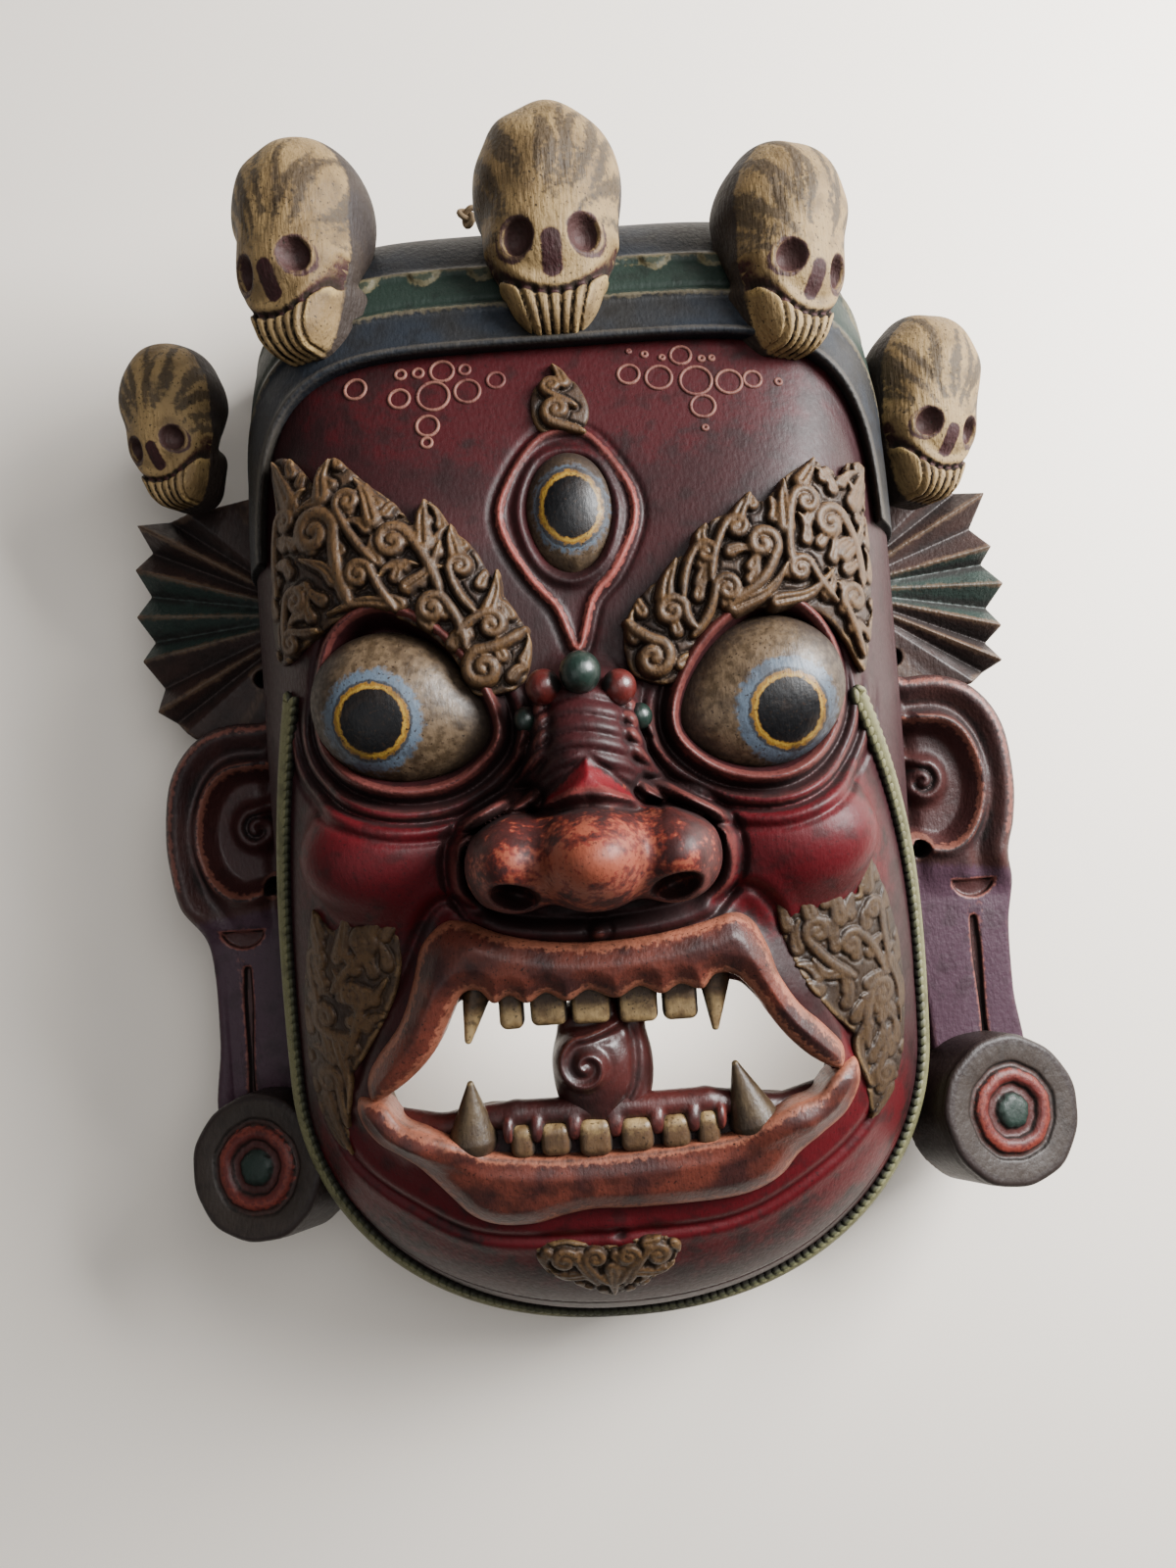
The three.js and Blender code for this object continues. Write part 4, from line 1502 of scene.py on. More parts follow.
@dataclass
class Mouth:
    """What stands in the open mouth: two rows of teeth, four fangs, the gums and the tongue."""

    # Each tooth's middle and width.
    upper_row: tuple[Point, ...] = ((-26.8, 7.6), (-16, 11.0), (-3.8, 11.8), (9.8, 11.8), (22, 10.6))
    lower_row: tuple[Point, ...] = (
        (-26.5, 7.8), (-16.8, 9.8), (-5.2, 10.4), (7.0, 10.6), (18.4, 9.4), (28, 7.6)
    )
    # The middle line of each row's gum.
    bars: tuple[tuple[Point, ...], ...] = (
        (
            (-62, -80, 88), (-52, -67, 93), (-44, -57, 97), (-34, -54.5, 99), (0, -54.5, 100.5),
            (32, -54.5, 99), (42, -57, 97), (52, -68, 92), (62, -79, 88),
        ),
        (
            (-66, -97, 84), (-50, -99, 89), (-40, -97, 91), (-28, -95.5, 93), (0, -95.5, 94), (28, -95.5, 93),
            (40, -98, 91), (50, -100, 89), (66, -97, 84),
        ),
    )
    # Each fang's root, tip and thickness.
    fangs: tuple[tuple[Point, Point, float], ...] = (
        ((-36, -56), (-39.5, -71), 4.8),
        ((32.5, -57), (31.5, -72), 4.9),
        ((-41, -101), (-40.5, -85), 7.2),
        ((41.5, -101), (37, -84.5), 7.4),
    )

    def build(self) -> list[bpy.types.Object]:
        """Carves and paints the pieces.

        Returns:
            The teeth, the gums and the tongue.
        """
        return [self._teeth(), self._gums(), self._tongue()]

    def _teeth(self) -> bpy.types.Object:
        """The bone-coloured teeth.

        Returns:
            The finished piece.
        """
        made = Carving((-50, -112, 76), (51, -48, 112), 0.4)
        for index, (x, width) in enumerate(self.upper_row):
            half = (width / 2 - 0.2, 6.4 + 0.5 * math.sin(5 * index), 4)
            made.add([Brick((x, -62.8, 99.5 - abs(x) * 0.04), half, 2.4)])
        for index, (x, width) in enumerate(self.lower_row):
            half = (width / 2 - 0.3, 5.0 + 0.4 * math.sin(4 * index), 4.2)
            made.add([Brick((x, -103, 95.5 - abs(x) * 0.05), half, 2.8)])
        for (rx, ry), (tx, ty), radius in self.fangs:
            made.add([Rod((rx, ry, 100 if ry > -80 else 94), (tx, ty, 103 if ry > -80 else 97), radius, 1.1)])
        piece, (x, y, z) = carve_piece("teeth", made, 28_000, 1.5)
        around = [Rod((*root, 98), (*tip, 99), radius + 1.5, 3.0) for root, tip, radius in self.fangs]
        fang = np.min([rod.distance(x, y, z) for rod in around], axis=0)
        dress(piece, TOOTH_BONE, root=np.where(y > -80, y + 60.5, -103 - y), fang=fang)
        return piece

    def _gums(self) -> bpy.types.Object:
        """The dark gums that the teeth stand in: a bar for each row, with a peak between every two teeth.

        Returns:
            The finished piece.
        """
        made = Carving((-72, -116, 72), (72, -46, 112), 0.6)
        for bar, radius in zip(self.bars, (3.8, 4.0), strict=True):
            made.add([Rod(a, b, radius) for a, b in zip(bar[:-1], bar[1:], strict=True)], 1.0)
        for row, y, z, half in (
            (self.upper_row, -57, 101, (2.0, 4.2, 3.2)),
            (self.lower_row, -99.5, 96, (1.8, 4.0, 3.0)),
        ):
            for x, width in row:
                made.add([Lump((x + side * width / 2, y, z), half) for side in (-1, 1)], 1.2)
        piece, _ = carve_piece("gums", made, 18_000)
        dress(piece, GUM_RED)
        return piece

    def _tongue(self) -> bpy.types.Object:
        """The tongue, which curls up behind the upper teeth with its tip wound in a coil.

        Returns:
            The finished piece.
        """
        made = Carving((-20, -106, 74), (19, -60, 112), 0.45)
        body, root = Lump((-1.5, -84, 90), (15, 22, 10)), Lump((-1, -70, 91), (12.5, 9, 9))
        made.add([body, root, Lump((-6.3, -81, 96), (10.5, 10.5, 8))], 3.0)
        top = ease(made.z, 90, 98)
        coil, _ = to_path(made.x, made.y, Scroll((-6.3, -81), 10.5, (6, -68), 1, 2).path())
        ridge = (2.2 * bell(coil, 1.5) - 1.0) * bell(np.maximum(coil - 2, 0), 2)
        made.field -= (ridge * top).astype(np.float32)
        fold, _ = to_path(made.x, made.y, smooth_path([(5, -66), (8, -76), (7, -88), (2, -96)], 20))
        made.field += (2.0 * bell(fold, 1.3) * top).astype(np.float32)
        piece, _ = carve_piece("tongue", made, 14_000, 1.8)
        dress(piece, TONGUE_RED)
        return piece


# ---- The crown ------------------------------------------------------------------------------------------


@dataclass
class CrownBand:
    """The dark band round the top of the head, with a green strip between two pale ridges."""

    raised: float = 5.0  # how far it stands over the dome
    foot: float = 74.0  # how far down its ends reach
    half_width: float = 95.0  # of its arch
    middle: float = 20.0  # where the arch springs from
    half_height: float = 109.0
    power: float = 5.0  # how square the arch is
    ridges: Point = (14.0, 28.0)  # how far out from the arch the two ridges lie
    bump: float = 4.2  # radius of the half-round bumps along the outer ridge
    spacing: float = 17.0  # of those bumps

    def inner(self) -> Array:
        """The band's edge against the forehead, closed below.

        Returns:
            The edge's points.
        """
        angle = np.linspace(0, math.pi, 70)
        across = np.sign(np.cos(angle)) * np.abs(np.cos(angle)) ** (2 / self.power)
        up = np.abs(np.sin(angle)) ** (2 / self.power)
        arch = np.stack([self.half_width * across, self.middle + self.half_height * up], axis=1)
        return np.vstack([arch, [(-self.half_width, -60), (self.half_width, -60)]])

    def _layout(self, x: Array, y: Array) -> tuple[Array, Array]:
        """How far out across the band a place is, and how far from the nearest half-round bump.

        Args:
            x: Places across.
            y: Places up.

        Returns:
            The two distances for each place.
        """
        across = to_outline(x, y, self.inner())
        _, along = to_path(x, y, self.inner()[:70])
        bump_x = (along + self.spacing / 2) % self.spacing - self.spacing / 2
        bump = np.maximum(np.hypot(bump_x, across - self.ridges[1]) - self.bump, across - self.ridges[1])
        return across, bump

    def build(self, block: Block) -> bpy.types.Object:
        """Carves and paints the band.

        Args:
            block: The block that it stands on.

        Returns:
            The finished piece.
        """
        made = Carving((-116, self.foot - 2, 2), (116, 186, 108), 0.7)
        across, bump = self._layout(made.x, made.y)
        ridges = sum(1.5 * bell(across - place, 1.1) for place in self.ridges) + 1.2 * bell(across - 1.4, 1.2)
        relief = self.raised + ridges + 1.3 * ease(-bump, -0.4, 1.2) - 0.8 * bell(across - 16.6, 1.0)
        shell = block.shell(made.x, made.y, made.z - relief.astype(np.float32))
        made.field = blend_cut(shell, across, 1.2).astype(np.float32)
        for over in (self.foot - made.y, -(block.shell(made.x, made.y, made.z) + 7), 4 - made.z):
            made.trim(over)
        piece, (x, y, _) = carve_piece("crown_band", made, 50_000, 2.0)
        across, bump = self._layout(x, y)
        dress(piece, self.paint(), across=across, bump=bump)
        return piece

    def paint(self) -> Paint:
        """Matt blue-black distemper with a bottle-green strip, and tan wood where its ridges are rubbed.

        Returns:
            The finish.
        """
        low, high = self.ridges
        marks = (
            Mark("across", "1e2923", above=low, below=high, soft=0.3),
            Mark("bump", "373a2e", below=-0.6, soft=0.5, wobble=0.8, strength=0.7),
            Mark("bump", "5f573f", above=-1.0, below=0.6, soft=0.4, wobble=0.8, strength=0.7),
            Mark("across", "5c5340", above=low - 0.8, below=low + 0.5, wobble=0.8, soft=0.5, strength=0.6),
            Mark("across", "5c5340", above=high - 0.5, below=high + 0.8, wobble=0.8, soft=0.5, strength=0.6),
        )
        return Paint(
            "crown_blue_black", "1c2026", "1f1e1d", worn="4c463e", dirt_and_shade_colour="0d0b0a", marks=marks, roughness=0.55,
            wear=0.45, coat=0.0, specular=0.2,
        )


# Chalky bone-white distemper, smoked brown, with dark red in the sockets, the nose and the line of the jaw.
BONE = Paint(
    "bone_distemper", "846d48", "6c5738", worn="9a8152", dirt_and_shade_colour="20170f", roughness=0.65, grain=(1, 7, 1),
    speckle=0.9, wear=0.8, bump=0.8, coat=0.0,
    marks=(
        Mark("streak", "33291e", below=0.2, soft=0.8, wobble=1.0, blot=0.8, strength=0.85),
        Mark("back", "231c1b", below=0.0, soft=0.8, wobble=0.8, strength=0.95),
        Mark("smile", "300f10", below=0.9, soft=0.4, wobble=0.3),
        Mark("slot", "2a0d0e", below=0.2, soft=0.4, wobble=0.3),
        Mark("socket", "3a2422", below=0.2, soft=0.3, wobble=0.3),
    ),
)


@dataclass(frozen=True)
class Skull:
    """One of the crown's skulls: its place, its size, and the way it looks."""

    name: str
    at: Point
    size: float
    aim: Point
    roll: float

    def _matrix(self) -> Array:
        """The turn and size that bring the skull's own frame to the mask's.

        Returns:
            A three by three matrix.
        """
        forward = Vector(self.aim).normalized()
        right = Vector((0, 1, 0)).cross(forward).normalized()
        look = Matrix((right, forward.cross(right), forward)).transposed()
        return np.array(look @ Matrix.Rotation(math.radians(self.roll), 3, "Z")) * self.size

    def _smile(self) -> Array:
        """The edge of the upper jaw.

        Returns:
            The edge's points.
        """
        corners = ((-19, -13), (-16, -19), (-9, -25.5), (0, -28), (9, -25.5), (16, -19), (19, -13))
        return smooth_path(corners, 24)

    def _carving(self) -> Carving:
        """The skull in its own frame, facing +Z with its crown to +Y.

        Returns:
            The distances to its skin.
        """
        made = Carving((-26, -42, -28), (26, 37, 28), 0.55)
        made.add([Lump((0, 9, -3), (22, 25, 23)), Lump((0, -10, 2), (19.5, 17, 17))], 6.0)
        made.cut([Lump((side * 27, -4, 12), (7, 10, 10)) for side in (-1, 1)], 6.0)
        taper = 1 + 0.025 * (made.y + 20)
        jaw = Brick((0, -26, -2), (16.5, 12.5, 15), 8.0).distance(made.x / taper, made.y, made.z)
        made.field = blend_union(made.field, jaw, 1.2).astype(np.float32)
        flutes = sum(bell(made.x / taper - place, 0.7) for place in (-11.4, -6.8, -2.2, 2.4, 6.9, 11.2))
        below = -27 + 0.028 * made.x**2 - made.y
        made.field += (1.5 * flutes * ease(below, -0.5, 1.0) * ease(made.z, -4, 3)).astype(np.float32)
        smile, _ = to_path(made.x, made.y, self._smile())
        made.field += (1.8 * bell(smile, 1.0) * ease(made.z, -4, 5)).astype(np.float32)
        facets = np.sin(made.x / 2.7 + 1.3 * np.sin(made.y / 7 + self.size * 9))
        facets = 0.45 * facets * np.sin(made.y / 6.1 + self.at[0])
        made.field += (facets * ease(made.y, -8, 4)).astype(np.float32)
        made.cut([Lump((side * 10.0, -14, 19), (5.2, 5.6, 8.5)) for side in (-1, 1)], 0.9)
        made.cut([Rod((0, -16.5, 21), (0, -21.8, 20), 1.5, 2.7)], 0.8)
        return made

    def _streaks(self, x: Array, y: Array) -> Array:
        """How far places are from the smoky streaks that fan out from the nose over the skull.

        Args:
            x: Places across.
            y: Places up.

        Returns:
            The distances.
        """
        reach = np.hypot(x, y + 22)
        angle = np.degrees(np.arctan2(x, y + 22))
        chance = np.random.default_rng(SEED + 500 + round(self.at[0]))
        nearest = np.full(x.shape, 20.0)
        for middle in (-56, -49, -42, -35, -28, -21, -14, -7, 1, 8, 15, 22, 30, 37, 45, 53):
            lean, start, end = middle + chance.uniform(-4, 4), chance.uniform(14, 26), chance.uniform(42, 62)
            wave = 2.5 * np.sin(reach / 6 + chance.uniform(0, 6))
            off = np.radians(np.abs(angle - lean - wave)) * reach
            width = 0.2 + 1.3 * np.sin(np.clip((reach - start) / (end - start), 0, 1) * math.pi)
            gap = np.maximum(np.maximum(start - reach, reach - end), 0)
            nearest = np.minimum(nearest, np.hypot(off, gap) - width)
        return nearest

    def build(self) -> bpy.types.Object:
        """Carves and paints the skull.

        Returns:
            The finished piece.
        """
        piece, (x, y, z) = carve_piece(self.name, self._carving(), 20_000, 2.0)
        areas = {
            "socket": np.hypot(np.abs(x) - 10.0, (y + 14) * 0.94) - 5.4,
            "slot": np.hypot(x, np.maximum(np.abs(y + 19) - 3, 0)) - 2.7,
            "smile": to_path(x, y, self._smile())[0],
        }
        on_front = {name: np.where(z > 0, values, 20) for name, values in areas.items()}
        dress(piece, BONE, **on_front, back=z - 1.5 - 0.06 * y, streak=self._streaks(x, y))
        place(piece, self._matrix(), self.at)
        return piece


SKULLS = (
    Skull("skull_middle", (0.5, 169.5, 88), 1.03, (0, 0.1, 1), 0),
    Skull("skull_left", (-74, 166, 90), 0.95, (-0.5, 0.12, 1), 4),
    Skull("skull_right", (69.5, 155.8, 90), 0.91, (0.6, 0.05, 1), -8),
    Skull("skull_far_left", (-128, 129, 51), 0.76, (-0.35, 0, 1), 6),
    Skull("skull_far_right", (119, 117, 52), 0.86, (0.45, 0, 1), -8),
)


# ---- The ears -------------------------------------------------------------------------------------------


class Side(Enum):
    """The two sides of the mask, as one looks at its face."""

    LEFT = -1
    RIGHT = 1

    def holes(self) -> list[Rod]:
        """This side's cord holes, laid out as if it were the right side."""
        return [rod for x, y in TIE_HOLES if x * self.value > 0 for rod in tie_hole(abs(x), y)]

    def settle(self, piece: bpy.types.Object) -> None:
        """Brings a piece that was made for the right side to this one.

        Args:
            piece: The piece.
        """
        place(piece, np.diag([self.value, 1, 1]), (0, 0, 0))
        if self is Side.LEFT:
            piece.data.flip_normals()


@dataclass(frozen=True)
class Ear:
    """An ear with its long lobe, cut from one flat plate beside the face."""

    side: Side
    strap: Point  # where the lobe's two edges lie, from the nose line
    groove: float  # where the slot down the lobe lies
    low: float = 16.0  # the level of its back
    top: float = 41.0  # the level of its front, and below that of its lobe
    lobe_top: float = 37.0
    shell: tuple[Point, ...] = (
        (100, 13), (110, 14), (122, 12.5), (130, 4), (133, -9), (130, -22), (121, -30), (110, -28), (100, -22)
    )
    coil: Scroll = Scroll((113.5, -7.5), 8.5, (104, 4), -1, -2)

    def _outline(self) -> Array:
        """The plate's edge.

        Returns:
            The edge's points.
        """
        near, far = self.strap
        corners = [
            (100, 26), (110, 28.5), (123, 28), (134, 22), (141.5, 10), (144, -8), (143, -22), (140.5, -33),
            (far + 2, -44), (far, -58), (far, -80), (far + 1, -108),
            (near - 2, -108), (near - 7, -84), (near - 10, -60), (100, -40),
        ]
        return smooth_path(corners, 110, closed=True)

    def _lines(self, x: Array, y: Array) -> tuple[Array, Array, Array]:
        """The distances to the plate's edge, to the shell's edge, and to the cuts in the lobe.

        Args:
            x: Places across.
            y: Places up.

        Returns:
            The three distances for each place.
        """
        edge = to_outline(x, y, self._outline())
        shell = to_outline(x, y, smooth_path(self.shell, 60, closed=True))
        moon = np.maximum(np.hypot(x - self.groove, (y + 41) * 1.1) - 7.6, y + 41.5)
        slot, along = to_path(x, y, np.array([(self.groove - 0.6, -55), (self.groove + 0.8, -98)]))
        return edge, shell, np.minimum(moon, slot - 1.3 - 0.3 * np.sin(along / 7))

    def build(self) -> bpy.types.Object:
        """Carves and paints the ear.

        Returns:
            The finished piece.
        """
        made = Carving((98, -110, self.low - 2), (151, 32, self.top + 5), 0.5)
        x, y = made.x, made.y
        edge, shell, cuts = self._lines(x, y)
        lobe = ease(-y, 32, 48)
        height = self.top + (self.lobe_top - self.top) * lobe - 0.05 * np.maximum(x - 128, 0) * lobe
        height = height + (1 - lobe) * (1.8 * bell(edge + 3.5, 2.6) - 2.6 * bell(edge + 10, 3.0))
        height = height + 2.4 * bell(shell - 0.8, 1.9) - 6.8 * ease(-shell, -0.5, 6)
        coil, _ = to_path(x, y, self.coil.path())
        height = height + 4.2 * bell(coil, 2.6) * ease(-shell, -1, 2) - 2.2 * ease(-cuts, -0.3, 0.9)
        made.field = blend_cut(made.below(height, 2.5), -edge, 2.2).astype(np.float32)
        made.trim(self.low - made.z)
        made.cut(self.side.holes(), 0.8)
        piece, (x, y, z) = carve_piece("ear_" + self.side.name.lower(), made, 28_000, 2.0)
        edge, shell, cuts = self._lines(x, y)
        front_edge = np.where(z > self.low + 8, np.abs(edge + 2.2) + 40 * ease(-y, 26, 36), 20)
        dress(piece, EAR_PAINT, edge=front_edge, shell=shell, cuts=cuts, lobe=y + 36 + 0.12 * (x - 120))
        self.side.settle(piece)
        return piece


# Dull red-brown paint on the ears and plum on the lobes, rubbed to pink along every carved edge.
EAR_PAINT = Paint(
    "plum_ear_paint", "3b221f", "2d1a1a", worn="6b4439", dirt_and_shade_colour="160c0b", roughness=0.48, coat=0.1, wear=0.75,
    bump=0.5, patch_size=16.0,
    marks=(
        Mark("lobe", "3c2732", below=0.0, soft=1.5, wobble=0.8),
        Mark("edge", "855044", below=0.75, soft=0.4, wobble=0.9, strength=0.55),
        Mark("shell", "351918", below=-1.0, soft=1.0, wobble=0.5, strength=0.7),
        Mark("shell", "8a5546", above=-1.2, below=0.4, soft=0.4, wobble=0.9, strength=0.6),
        Mark("cuts", "855146", below=0.5, soft=0.4, wobble=0.5, strength=0.7),
        Mark("cuts", "2a1416", below=-0.7, soft=0.4, wobble=0.3, strength=0.85),
    ),
)
EARS = (Ear(Side.LEFT, (111, 132), 121), Ear(Side.RIGHT, (117, 140.5), 128.5))


@dataclass(frozen=True)
class Disc:
    """A turned ear disc that leans outwards, with rings round a green boss."""

    side: Side
    at: Point  # the middle of its front
    radius: float = 23.4
    deep: float = 27.0
    lean: Point = (0.26, 0.16)  # how far its front looks outwards and up

    def _section(self) -> Array:
        """Half its section, from the middle of its front outwards and down to its back.

        Returns:
            The section's points: how far out, and how far forward.
        """
        r, d = self.radius, self.deep
        return np.array([
            (0, 0.9), (3.8, 0.8), (5.2, 0.0), (6.0, -1.4), (8.4, -1.5), (9.0, -0.2), (10.2, 0.7), (11.8, 0.8),
            (13.2, 0.2), (13.9, -1.2), (15.3, -1.3), (16.0, -0.3), (r - 1.6, 0.2), (r - 0.5, -0.3),
            (r, -1.4), (r - 0.4, -3), (r + 0.2, -5), (r + 1.0, -d), (0, -d),
        ])

    def build(self) -> bpy.types.Object:
        """Carves and paints the disc.

        Returns:
            The finished piece.
        """
        reach = self.radius + 3
        made = Carving((-reach, -reach, -self.deep - 2), (reach, reach, 4), 0.5)
        angle = np.arctan2(made.y, made.x)
        radius = np.hypot(made.x, made.y)
        radius = radius + 0.2 * np.sin(5 * angle + self.side.value) + 0.15 * np.sin(11 * angle)
        section = self._section()
        mirrored = np.vstack([section, (section * (-1, 1))[::-1]])
        made.field = to_outline(radius, made.z, mirrored).astype(np.float32)
        piece, (x, y, z) = carve_piece("disc_" + self.side.name.lower(), made, 16_000, 1.5)
        dress(piece, DISC_PAINT, ring=np.where(z > -2.6, np.hypot(x, y), 30))
        out = Vector((self.side.value * self.lean[0], self.lean[1], 1)).normalized()
        place(piece, np.array(out.to_track_quat("Z", "Y").to_matrix()), self.at)
        return piece


# Smoke-brown paint with a worn scarlet ring and a deep green boss.
DISC_PAINT = Paint(
    "disc_paint", "271f1c", "221816", worn="5c4638", dirt_and_shade_colour="120c09", roughness=0.5, coat=0.05, wear=0.7,
    marks=(
        Mark("ring", "2c241f", below=21.5, soft=0.5),
        Mark("ring", "34201b", below=15.2, soft=0.4, wobble=0.4),
        Mark("ring", "4f1c18", below=13.6, soft=0.4, wobble=0.9),
        Mark("ring", "703024", above=11.4, below=13.0, soft=0.6, wobble=1.8, strength=0.6),
        Mark("ring", "3c1a17", below=9.6, soft=0.4, wobble=0.3),
        Mark("ring", "1c2923", below=5.9, soft=0.3, wobble=0.3),
    ),
)
DISCS = (Disc(Side.LEFT, (-117, -117, 56), 23.6), Disc(Side.RIGHT, (130.8, -116, 56), 24.4))


@dataclass(frozen=True)
class Fan:
    """A pleated fan over an ear: its hub, and the far ends of its ridges and valleys in turn."""

    side: Side
    hub: Point
    ends: tuple[Point, ...]  # measured from the nose line, from the top down, a ridge first
    green: tuple[int, int] = (2, 5)  # the folds painted green
    low: float = 17.0  # the level of its back
    middle: float = 35.4  # the level halfway between its ridges and its valleys
    fold: float = 3.1  # how far the ridges stand over the middle at their ends

    def build(self) -> bpy.types.Object:
        """Carves and paints the fan.

        Returns:
            The finished piece.
        """
        hub, ends = np.array(self.hub), np.array(self.ends)
        near = [(134, 25), (102, 22), (102, hub[1] + 36), (109, ends[0][1] + 7)]
        outline = np.vstack([ends, near])
        angles = np.arctan2(ends[:, 1] - hub[1], ends[:, 0] - hub[0])
        high = (154, ends[:, 1].max() + 12, self.middle + self.fold + 4)
        made = Carving((100, 20, self.low - 2), high, 0.5)
        levels = np.where(np.arange(len(ends)) % 2 == 0, 1.0, -1.0)
        folds = np.concatenate([angles[0] + [0.34, 0.2, 0.1], angles, angles[-1] - [0.09, 0.18, 0.3]])
        levels = np.concatenate([[0, 0.5, -0.9], levels, [-0.8, 0.5, 0]])
        angle = np.arctan2(made.y - hub[1], made.x - hub[0])
        radius = np.hypot(made.x - hub[0], made.y - hub[1])
        pleat = np.interp(angle, folds[::-1], levels[::-1])
        height = self.middle + self.fold * pleat * np.clip((radius - 8) / 44, 0, 1.1) - 0.06 * radius
        edge = to_outline(made.x, made.y, outline)
        made.field = blend_cut(made.below(height, 2), -edge, 0.7).astype(np.float32)
        made.trim(self.low - made.z)
        made.cut(self.side.holes(), 0.8)
        piece, (x, y, _) = carve_piece("fan_" + self.side.name.lower(), made, 16_000, 2.2)
        angle, radius = np.arctan2(y - hub[1], x - hub[0]), np.hypot(x - hub[0], y - hub[1])
        first, last = (angles[fold] for fold in self.green)
        green = (np.abs(angle - (first + last) / 2) - abs(first - last) / 2) * radius
        crest = np.min(np.abs(angle[:, None] - angles[None, ::2]), axis=1) * radius
        dress(piece, FAN_PAINT, green=green, crest=crest)
        self.side.settle(piece)
        return piece


# Smoked brown on the folds with a green band, rubbed pale along each ridge so that the pleats read.
FAN_PAINT = Paint(
    "pleat_paint", "30201c", "261a17", worn="594536", dirt_and_shade_colour="130c0a", roughness=0.5, coat=0.08, wear=0.8,
    grime=0.8, bump=0.5,
    marks=(
        Mark("green", "242f2a", below=0.0, soft=0.4, wobble=0.5),
        Mark("crest", "5c4a38", below=0.7, soft=0.6, wobble=0.9, strength=0.5),
    ),
)
FANS = (
    Fan(
        Side.LEFT,
        (88, 64.6),
        (
            (148.2, 99.6), (145.6, 91), (149.8, 84.3), (147, 75.8), (150.4, 68), (146.8, 59.8), (149.4, 52.7),
            (144.6, 43.5), (145.5, 35),
        ),
        (2, 6),
    ),
    Fan(
        Side.RIGHT,
        (88, 60),
        (
            (142.8, 90), (138.6, 78.9), (143.8, 71.4), (141.8, 66.3), (147, 58.5), (142.6, 51), (145.5, 44.2),
            (141.6, 39), (145, 32.3),
        ),
        (2, 6),
    ),
)


# ---- What repeats or follows a path: Geometry Nodes -----------------------------------------------------


class Graph(Nodes):
    """A Geometry Nodes tree with named inputs, made once and used on a piece."""

    def __init__(self, name: str, inputs: dict[str, tuple[str, object]]) -> None:
        """Starts the tree.

        Args:
            name: The tree's name.
            inputs: Each input's name, with its kind and its value.
        """
        super().__init__(bpy.data.node_groups.new(name, "GeometryNodeTree"))
        face = self.tree.interface
        face.new_socket("Geometry", in_out="INPUT", socket_type="NodeSocketGeometry")
        for label, (kind, value) in {**inputs, "Material": ("Material", None)}.items():
            socket = face.new_socket(label, in_out="INPUT", socket_type="NodeSocket" + kind)
            if value is not None:
                socket.default_value = value
        face.new_socket("Geometry", in_out="OUTPUT", socket_type="NodeSocketGeometry")
        self.source = self.tree.nodes.new("NodeGroupInput")

    def named(self, label: str) -> bpy.types.NodeSocket:
        """One of the tree's own inputs."""
        return self.source.outputs[label]

    def attribute(self, label: str, kind: str) -> bpy.types.NodeSocket:
        """A value that the carrier keeps for each of its points."""
        return self.add("GeometryNodeInputNamedAttribute", {"Name": label}, data_type=kind)

    def tube(
        self, curve: bpy.types.NodeSocket, radius: str, sides: int, more: dict | None = None
    ) -> bpy.types.NodeSocket:
        """A round tube along a curve.

        Args:
            curve: The curve.
            radius: The tree's input that holds the tube's radius.
            sides: How many sides the tube has.
            more: Other inputs of the node that makes it.

        Returns:
            The tube.
        """
        ring = self.add(
            "GeometryNodeCurvePrimitiveCircle", {"Resolution": sides, "Radius": self.named(radius)}
        )
        return self.add("GeometryNodeCurveToMesh", {"Curve": curve, "Profile Curve": ring, **(more or {})})

    def use(self, piece: bpy.types.Object, geometry: bpy.types.NodeSocket, paint: Paint) -> None:
        """Ends the tree in real geometry with its material, and turns the piece into its result.

        Args:
            piece: The carrier, whose points or line the tree works on.
            geometry: The tree's last geometry.
            paint: The finish.
        """
        real = self.add("GeometryNodeRealizeInstances", {"Geometry": geometry})
        smooth = self.add("GeometryNodeSetShadeSmooth", {"Geometry": real})
        dressed = self.add(
            "GeometryNodeSetMaterial", {"Geometry": smooth, "Material": self.named("Material")}
        )
        self.tree.links.new(dressed, self.tree.nodes.new("NodeGroupOutput").inputs["Geometry"])
        modifier = piece.modifiers.new(self.tree.name, "NODES")
        modifier.node_group = self.tree
        material = bpy.data.materials.get(paint.name) or paint.material()
        for item in self.tree.interface.items_tree:
            if item.in_out == "INPUT" and item.name == "Material":
                modifier[item.identifier] = material
        settle(piece)
        dress(piece, paint)


def carrier(
    name: str, points: Array, edges: Sequence[tuple[int, int]] = (), **kept: Array
) -> bpy.types.Object:
    """A mesh of loose points and lines that a Geometry Nodes tree works on.

    Args:
        name: The piece's name.
        points: The points in the carver's millimetres.
        edges: The pairs of points that are joined up.
        kept: What the mesh keeps for each point, by name: a number, or the three of a direction.

    Returns:
        The new object.
    """
    mesh = bpy.data.meshes.new(name)
    mesh.from_pydata(((points + SHIFT) * MM).tolist(), edges, [])
    for label, values in kept.items():
        kind, key = ("FLOAT_VECTOR", "vector") if values.ndim > 1 else ("FLOAT", "value")
        mesh.attributes.new(label, kind, "POINT").data.foreach_set(key, values.astype(np.float32).ravel())
    return in_scene(name, mesh)


